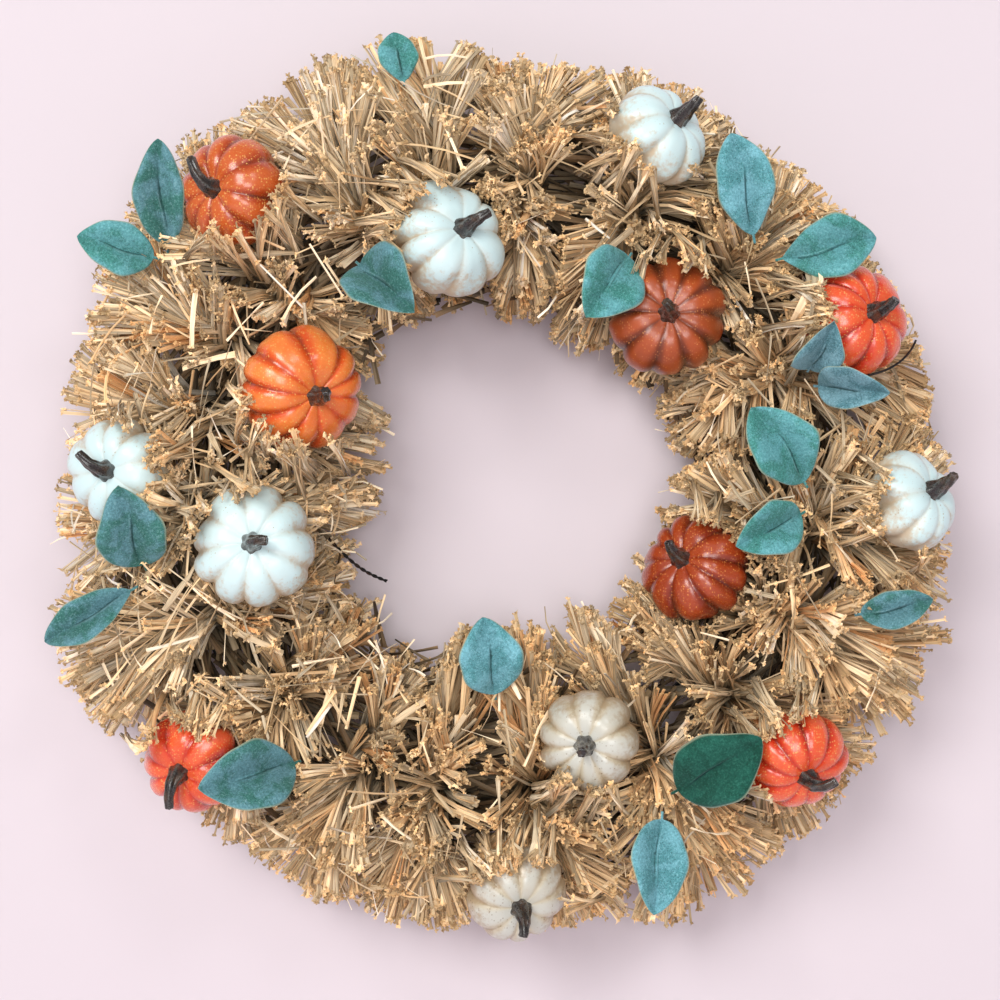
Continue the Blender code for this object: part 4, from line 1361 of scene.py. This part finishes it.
@dataclass(frozen=True)
class Studio:
    """A pale sweep behind and below the wreath, soft light from the upper left, and the camera."""

    centre: tuple[float, float, float] = (-0.0031, 0.0, -0.2595)
    distance: float = 1.30
    plane: float = -0.05
    view_width: float = 0.625
    wall: float = 0.030
    wall_colour: Colour = srgb(223, 213, 219)
    grain_colour: Colour = srgb(220, 209, 216)
    lights: tuple = (
        ("key", (-2.0, -4.4, 1.75), 2.3, 158.0, (1.0, 0.99, 0.97)),
        ("fill", (0.4, -5.2, -0.1), 2.2, 94.0, (1.0, 1.0, 1.0)),
        ("gloss", (0.9, -2.3, 1.3), 0.55, 7.0, (1.0, 1.0, 1.0)),
    )

    def camera(self) -> None:
        """A long lens square to the wreath. The lens is the sensor's width times the distance
        over the width it takes in at the straw's depth."""
        data = bpy.data.cameras.new("camera")
        data.sensor_width = 36.0
        data.lens = 36.0 * (self.distance + self.plane) / self.view_width
        data.clip_end = 50.0
        camera = bpy.data.objects.new("camera", data)
        camera.location = (self.centre[0], -self.distance, self.centre[2])
        camera.rotation_euler = (math.radians(90), 0.0, 0.0)
        bpy.context.scene.collection.objects.link(camera)
        bpy.context.scene.camera = camera

    def paper(self) -> bpy.types.Material:
        """Pale paper that is seen only from its front."""
        g = Graph("pale_paper")
        grain = g.noise(g.place(), 3.0, 2.0)
        tint = g.mix(g.step(grain, 0.3, 0.7, 0.0, 0.25), self.wall_colour, self.grain_colour)
        g.set(Base_Color=tint, Roughness=0.92, Specular_IOR_Level=0.1)
        facing = g.node("NewGeometry").outputs["Backfacing"]
        clear = g.node("BsdfTransparent").outputs[0]
        mixed = g.node("MixShader", Fac=facing)
        g.put(mixed.inputs[1], g.shader.outputs[0])
        g.put(mixed.inputs[2], clear)
        g.tree.links.new(mixed.outputs[0], g.output.inputs["Surface"])
        return g.material

    def sweep(self) -> None:
        """A wall that runs down into a floor through a quarter circle."""
        top, floor, radius, width, reach = 1.6, -0.95, 0.35, 3.2, 3.4
        turn = np.linspace(0, np.pi / 2, 24)
        y = self.wall - np.concatenate(([0.0], radius * (1 - np.cos(turn)), [reach]))
        z = np.concatenate(([top], floor + radius * (1 - np.sin(turn)), [floor]))
        x = np.array((-width, width))
        grid = np.stack(np.broadcast_arrays(x[None], y[:, None], z[:, None]), -1)
        i = np.arange(len(y) - 1)
        quads = np.stack((i * 2, i * 2 + 2, i * 2 + 3, i * 2 + 1), -1)
        u, v = np.meshgrid(np.linspace(0, 1, len(y)), (0.0, 1.0), indexing="ij")
        surface = Surface()
        uv = np.stack((u.ravel(), v.ravel()), -1)
        surface.add(grid.reshape(-1, 3), quads, NO_TRIS, uv)
        surface.build("paper_sweep", self.paper())

    def light(self, name: str, place, size: float, watts: float, colour: Colour) -> None:
        """A square soft light at a place, aimed at the wreath's middle."""
        data = bpy.data.lights.new(name, "AREA")
        data.shape, data.size, data.energy, data.color = "SQUARE", size, watts, colour
        lamp = bpy.data.objects.new(name, data)
        lamp.location = place
        aim = bpy.data.objects.new(name + "_aim", None)
        aim.location = self.centre
        follow = lamp.constraints.new("TRACK_TO")
        follow.target, follow.track_axis, follow.up_axis = aim, "TRACK_NEGATIVE_Z", "UP_Y"
        bpy.context.scene.collection.objects.link(lamp)
        bpy.context.scene.collection.objects.link(aim)

    def build(self) -> None:
        """The sweep, three lights, a pale world and the camera."""
        self.camera()
        self.sweep()
        for lamp in self.lights:
            self.light(*lamp)
        world = bpy.data.worlds.new("pale_world")
        world.use_nodes = True
        back = world.node_tree.nodes["Background"]
        back.inputs["Color"].default_value = (0.985, 0.985, 0.985, 1.0)
        back.inputs["Strength"].default_value = 0.24
        bpy.context.scene.world = world
        bpy.context.scene.view_settings.view_transform = "Standard"


# ---------------------------------------------------------------- assembly

# lobe, painted crown light, painted crease shade, fleck, dust, dust start, fleck share, roughness,
# coat
class Paint(Enum):
    """The pumpkins' paints."""

    ORANGE = PumpkinFinish(
        "orange_paint",
        srgb(224, 86, 30), srgb(248, 136, 62), srgb(132, 36, 12), srgb(255, 204, 112),
        srgb(214, 84, 34), 0.95, 0.66, 0.28, 0.6,
    )
    BURNT = PumpkinFinish(
        "burnt_paint",
        srgb(178, 66, 24), srgb(208, 98, 44), srgb(96, 30, 12), srgb(252, 196, 106),
        srgb(160, 62, 28), 0.9, 0.72, 0.28, 0.6,
    )
    EMBER = PumpkinFinish(
        "ember_paint",
        srgb(138, 44, 15), srgb(170, 66, 25), srgb(74, 22, 10), srgb(236, 150, 76),
        srgb(140, 50, 24), 0.9, 0.72, 0.3, 0.5,
    )
    RED = PumpkinFinish(
        "red_orange_paint",
        srgb(212, 56, 26), srgb(240, 98, 54), srgb(116, 22, 10), srgb(254, 190, 110),
        srgb(190, 56, 24), 0.95, 0.72, 0.28, 0.6,
    )
    RUST = PumpkinFinish(
        "rust_paint",
        srgb(122, 49, 16), srgb(180, 80, 33), srgb(58, 24, 12), srgb(220, 144, 78),
        srgb(96, 44, 22), 0.5, 0.6, 0.36, 0.35,
    )
    WHITE = PumpkinFinish(
        "white_paint",
        srgb(214, 232, 230), srgb(214, 240, 242), srgb(190, 180, 158), srgb(176, 158, 130),
        srgb(200, 178, 146), 0.33, 0.2, 0.4, 0.25,
    )
    AGED = PumpkinFinish(
        "aged_white_paint",
        srgb(202, 192, 168), srgb(206, 206, 196), srgb(138, 120, 94), srgb(140, 120, 92),
        srgb(174, 150, 116), 0.25, 0.3, 0.36, 0.4,
    )


class Cloth(Enum):
    """The leaves' flocked fabrics."""

    TEAL = LeafFinish("teal_flock", srgb(99, 164, 169), srgb(68, 137, 128), srgb(146, 198, 202))
    BLUE = LeafFinish("blue_flock", srgb(120, 162, 174), srgb(84, 130, 140), srgb(164, 200, 210))
    SKY = LeafFinish("sky_flock", srgb(116, 176, 188), srgb(84, 148, 154), srgb(160, 206, 216))
    GREEN = LeafFinish("green_flock", srgb(34, 92, 78), srgb(22, 72, 58), srgb(66, 128, 112))
    DUSK = LeafFinish("dusk_flock", srgb(95, 142, 151), srgb(58, 114, 103), srgb(146, 182, 190))


# paint, lobes, lumps, and the side and depth that straw laps over it
PUMPKIN_LOOKS = {
    "pumpkin_orange_1": (Paint.BURNT, 9, 0.02, 290, 0.34),
    "pumpkin_orange_2": (Paint.ORANGE, 10, 0.02, 235, 0.28),
    "pumpkin_orange_3": (Paint.RUST, 10, 0.02, 80, 0.16),
    "pumpkin_orange_4": (Paint.RED, 9, 0.02, 180, 0.50),
    "pumpkin_orange_5": (Paint.EMBER, 10, 0.02, 40, 0.22),
    "pumpkin_orange_6": (Paint.RED, 10, 0.02, 150, 0.30),
    "pumpkin_orange_7": (Paint.RED, 9, 0.02, 85, 0.40),
    "pumpkin_white_1": (Paint.WHITE, 8, 0.035, 150, 0.24),
    "pumpkin_white_2": (Paint.WHITE, 8, 0.03, 215, 0.40),
    "pumpkin_white_3": (Paint.WHITE, 8, 0.03, 10, 0.40),
    "pumpkin_white_4": (Paint.WHITE, 9, 0.025, 130, 0.16),
    "pumpkin_white_5": (Paint.WHITE, 8, 0.03, 180, 0.40),
    "pumpkin_white_6": (Paint.AGED, 9, 0.03, 235, 0.26),
    "pumpkin_white_7": (Paint.AGED, 9, 0.03, 90, 0.45),
}

# cloth, curl, twist, cup and belly
LEAF_LOOKS = {
    "leaf_01": (Cloth.DUSK, 0.04, 0.10, 0.16, 0.9),
    "leaf_02": (Cloth.TEAL, 0.05, 0.0, 0.12, 0.9),
    "leaf_03": (Cloth.TEAL, 0.02, 0.0, 0.10, 1.1),
    "leaf_04": (Cloth.DUSK, 0.05, -0.1, 0.26, 0.86),
    "leaf_05": (Cloth.TEAL, 0.05, 0.08, 0.16, 0.95),
    "leaf_06": (Cloth.SKY, 0.04, 0.0, 0.14, 1.15),
    "leaf_07": (Cloth.TEAL, 0.06, 0.1, 0.18, 1.35),
    "leaf_08": (Cloth.BLUE, 0.04, 0.12, 0.26, 0.95),
    "leaf_09": (Cloth.BLUE, 0.02, -0.1, 0.3, 0.9),
    "leaf_10": (Cloth.TEAL, 0.07, 0.0, 0.2, 1.1),
    "leaf_11": (Cloth.TEAL, 0.06, 0.1, 0.2, 1.0),
    "leaf_12": (Cloth.DUSK, 0.02, 0.0, 0.22, 0.9),
    "leaf_13": (Cloth.DUSK, 0.03, 0.0, 0.14, 0.8),
    "leaf_14": (Cloth.DUSK, 0.05, 0.1, 0.24, 1.1),
    "leaf_15": (Cloth.DUSK, 0.06, 0.0, 0.2, 1.0),
    "leaf_16": (Cloth.SKY, 0.03, 0.0, 0.14, 1.0),
    "leaf_17": (Cloth.GREEN, 0.04, 0.0, 0.12, 0.9),
    "leaf_18": (Cloth.SKY, 0.05, -0.1, 0.2, 0.86),
}


def make_finishes() -> dict[str, bpy.types.Material]:
    """Every material, by its name."""
    paints, cloths = (paint.value for paint in Paint), (cloth.value for cloth in Cloth)
    made = [f.build() for f in (StrawFinish(), *paints, StemFinish(), *cloths, WireFinish())]
    return {material.name: material for material in made}


def make_pumpkins(finishes: dict) -> list[Pumpkin]:
    """The fourteen pumpkins and their stems."""
    made = []
    for index, (node, (finish, lobes, lumps, side, lap)) in enumerate(PUMPKIN_LOOKS.items()):
        pumpkin = Pumpkin(node, SEED + index * 13, lobes, lumps, side, lap)
        pumpkin.fit()
        pumpkin.build(finishes[finish.value.name])
        pumpkin.build_stem(finishes["stem_paint"])
        made.append(pumpkin)
        LOG.info("%s: radius %.4f", node, pumpkin.radius)
    return made


def make_leaves(frame: dict, finishes: dict) -> list[Leaf]:
    """The eighteen leaves, each on the body that its CAD node rides on."""
    pivots = {joint["child"]: np.array(joint["pos_m"], float) for joint in frame["joints"]}
    made = []
    for index, (node, (finish, curl, twist, cup, belly)) in enumerate(LEAF_LOOKS.items()):
        body = frame["nodes"][node]["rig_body"]
        leaf = Leaf(node, body, pivots[body], curl, twist, cup, belly)
        leaf.fit()
        leaf.build(finishes[finish.value.name], SEED + 900 + index)
        made.append(leaf)
        LOG.info("%s on %s: %.3f x %.3f m", node, body, leaf.length, leaf.width)
    return made


def straw_form() -> StrawForm:
    """The straw's outline from the CAD tufts' boxes."""
    nodes = (f"raffia_tuft_{index:02d}" for index in range(1, TUFTS + 1))
    boxes = np.array([[list(corner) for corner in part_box(node)] for node in nodes])
    low, high = boxes[:, 0].min(axis=0), boxes[:, 1].max(axis=0)
    centre = np.array(((low[0] + high[0]) / 2, 0.0, (low[2] + high[2]) / 2))
    return StrawForm(centre, float(-low[1]), float(high[1]))


def main() -> None:
    """Builds the wreath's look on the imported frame, then the set, and hands the scene over."""
    logging.basicConfig(level=logging.INFO, format="%(message)s")
    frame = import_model()
    Studio().build()
    finishes = make_finishes()
    pumpkins = make_pumpkins(finishes)
    leaves = make_leaves(frame, finishes)
    form = straw_form()
    LOG.info("straw: front %.4f, back %.4f, centre %s", form.front, form.back, form.centre)
    straw = StrawWork(form, pumpkins, leaves)
    straw.build(finishes["straw_fibre"])
    WireWork(form).build(finishes["dark_wire"])
    for node in ("wire_frame", "hanger_loop"):
        obj = frame["nodes"][node]
        obj.data.materials.clear()
        obj.data.materials.append(finishes["dark_wire"])
        LOG.info("%s keeps its CAD shape", node)


if __name__ == "__main__":
    main()
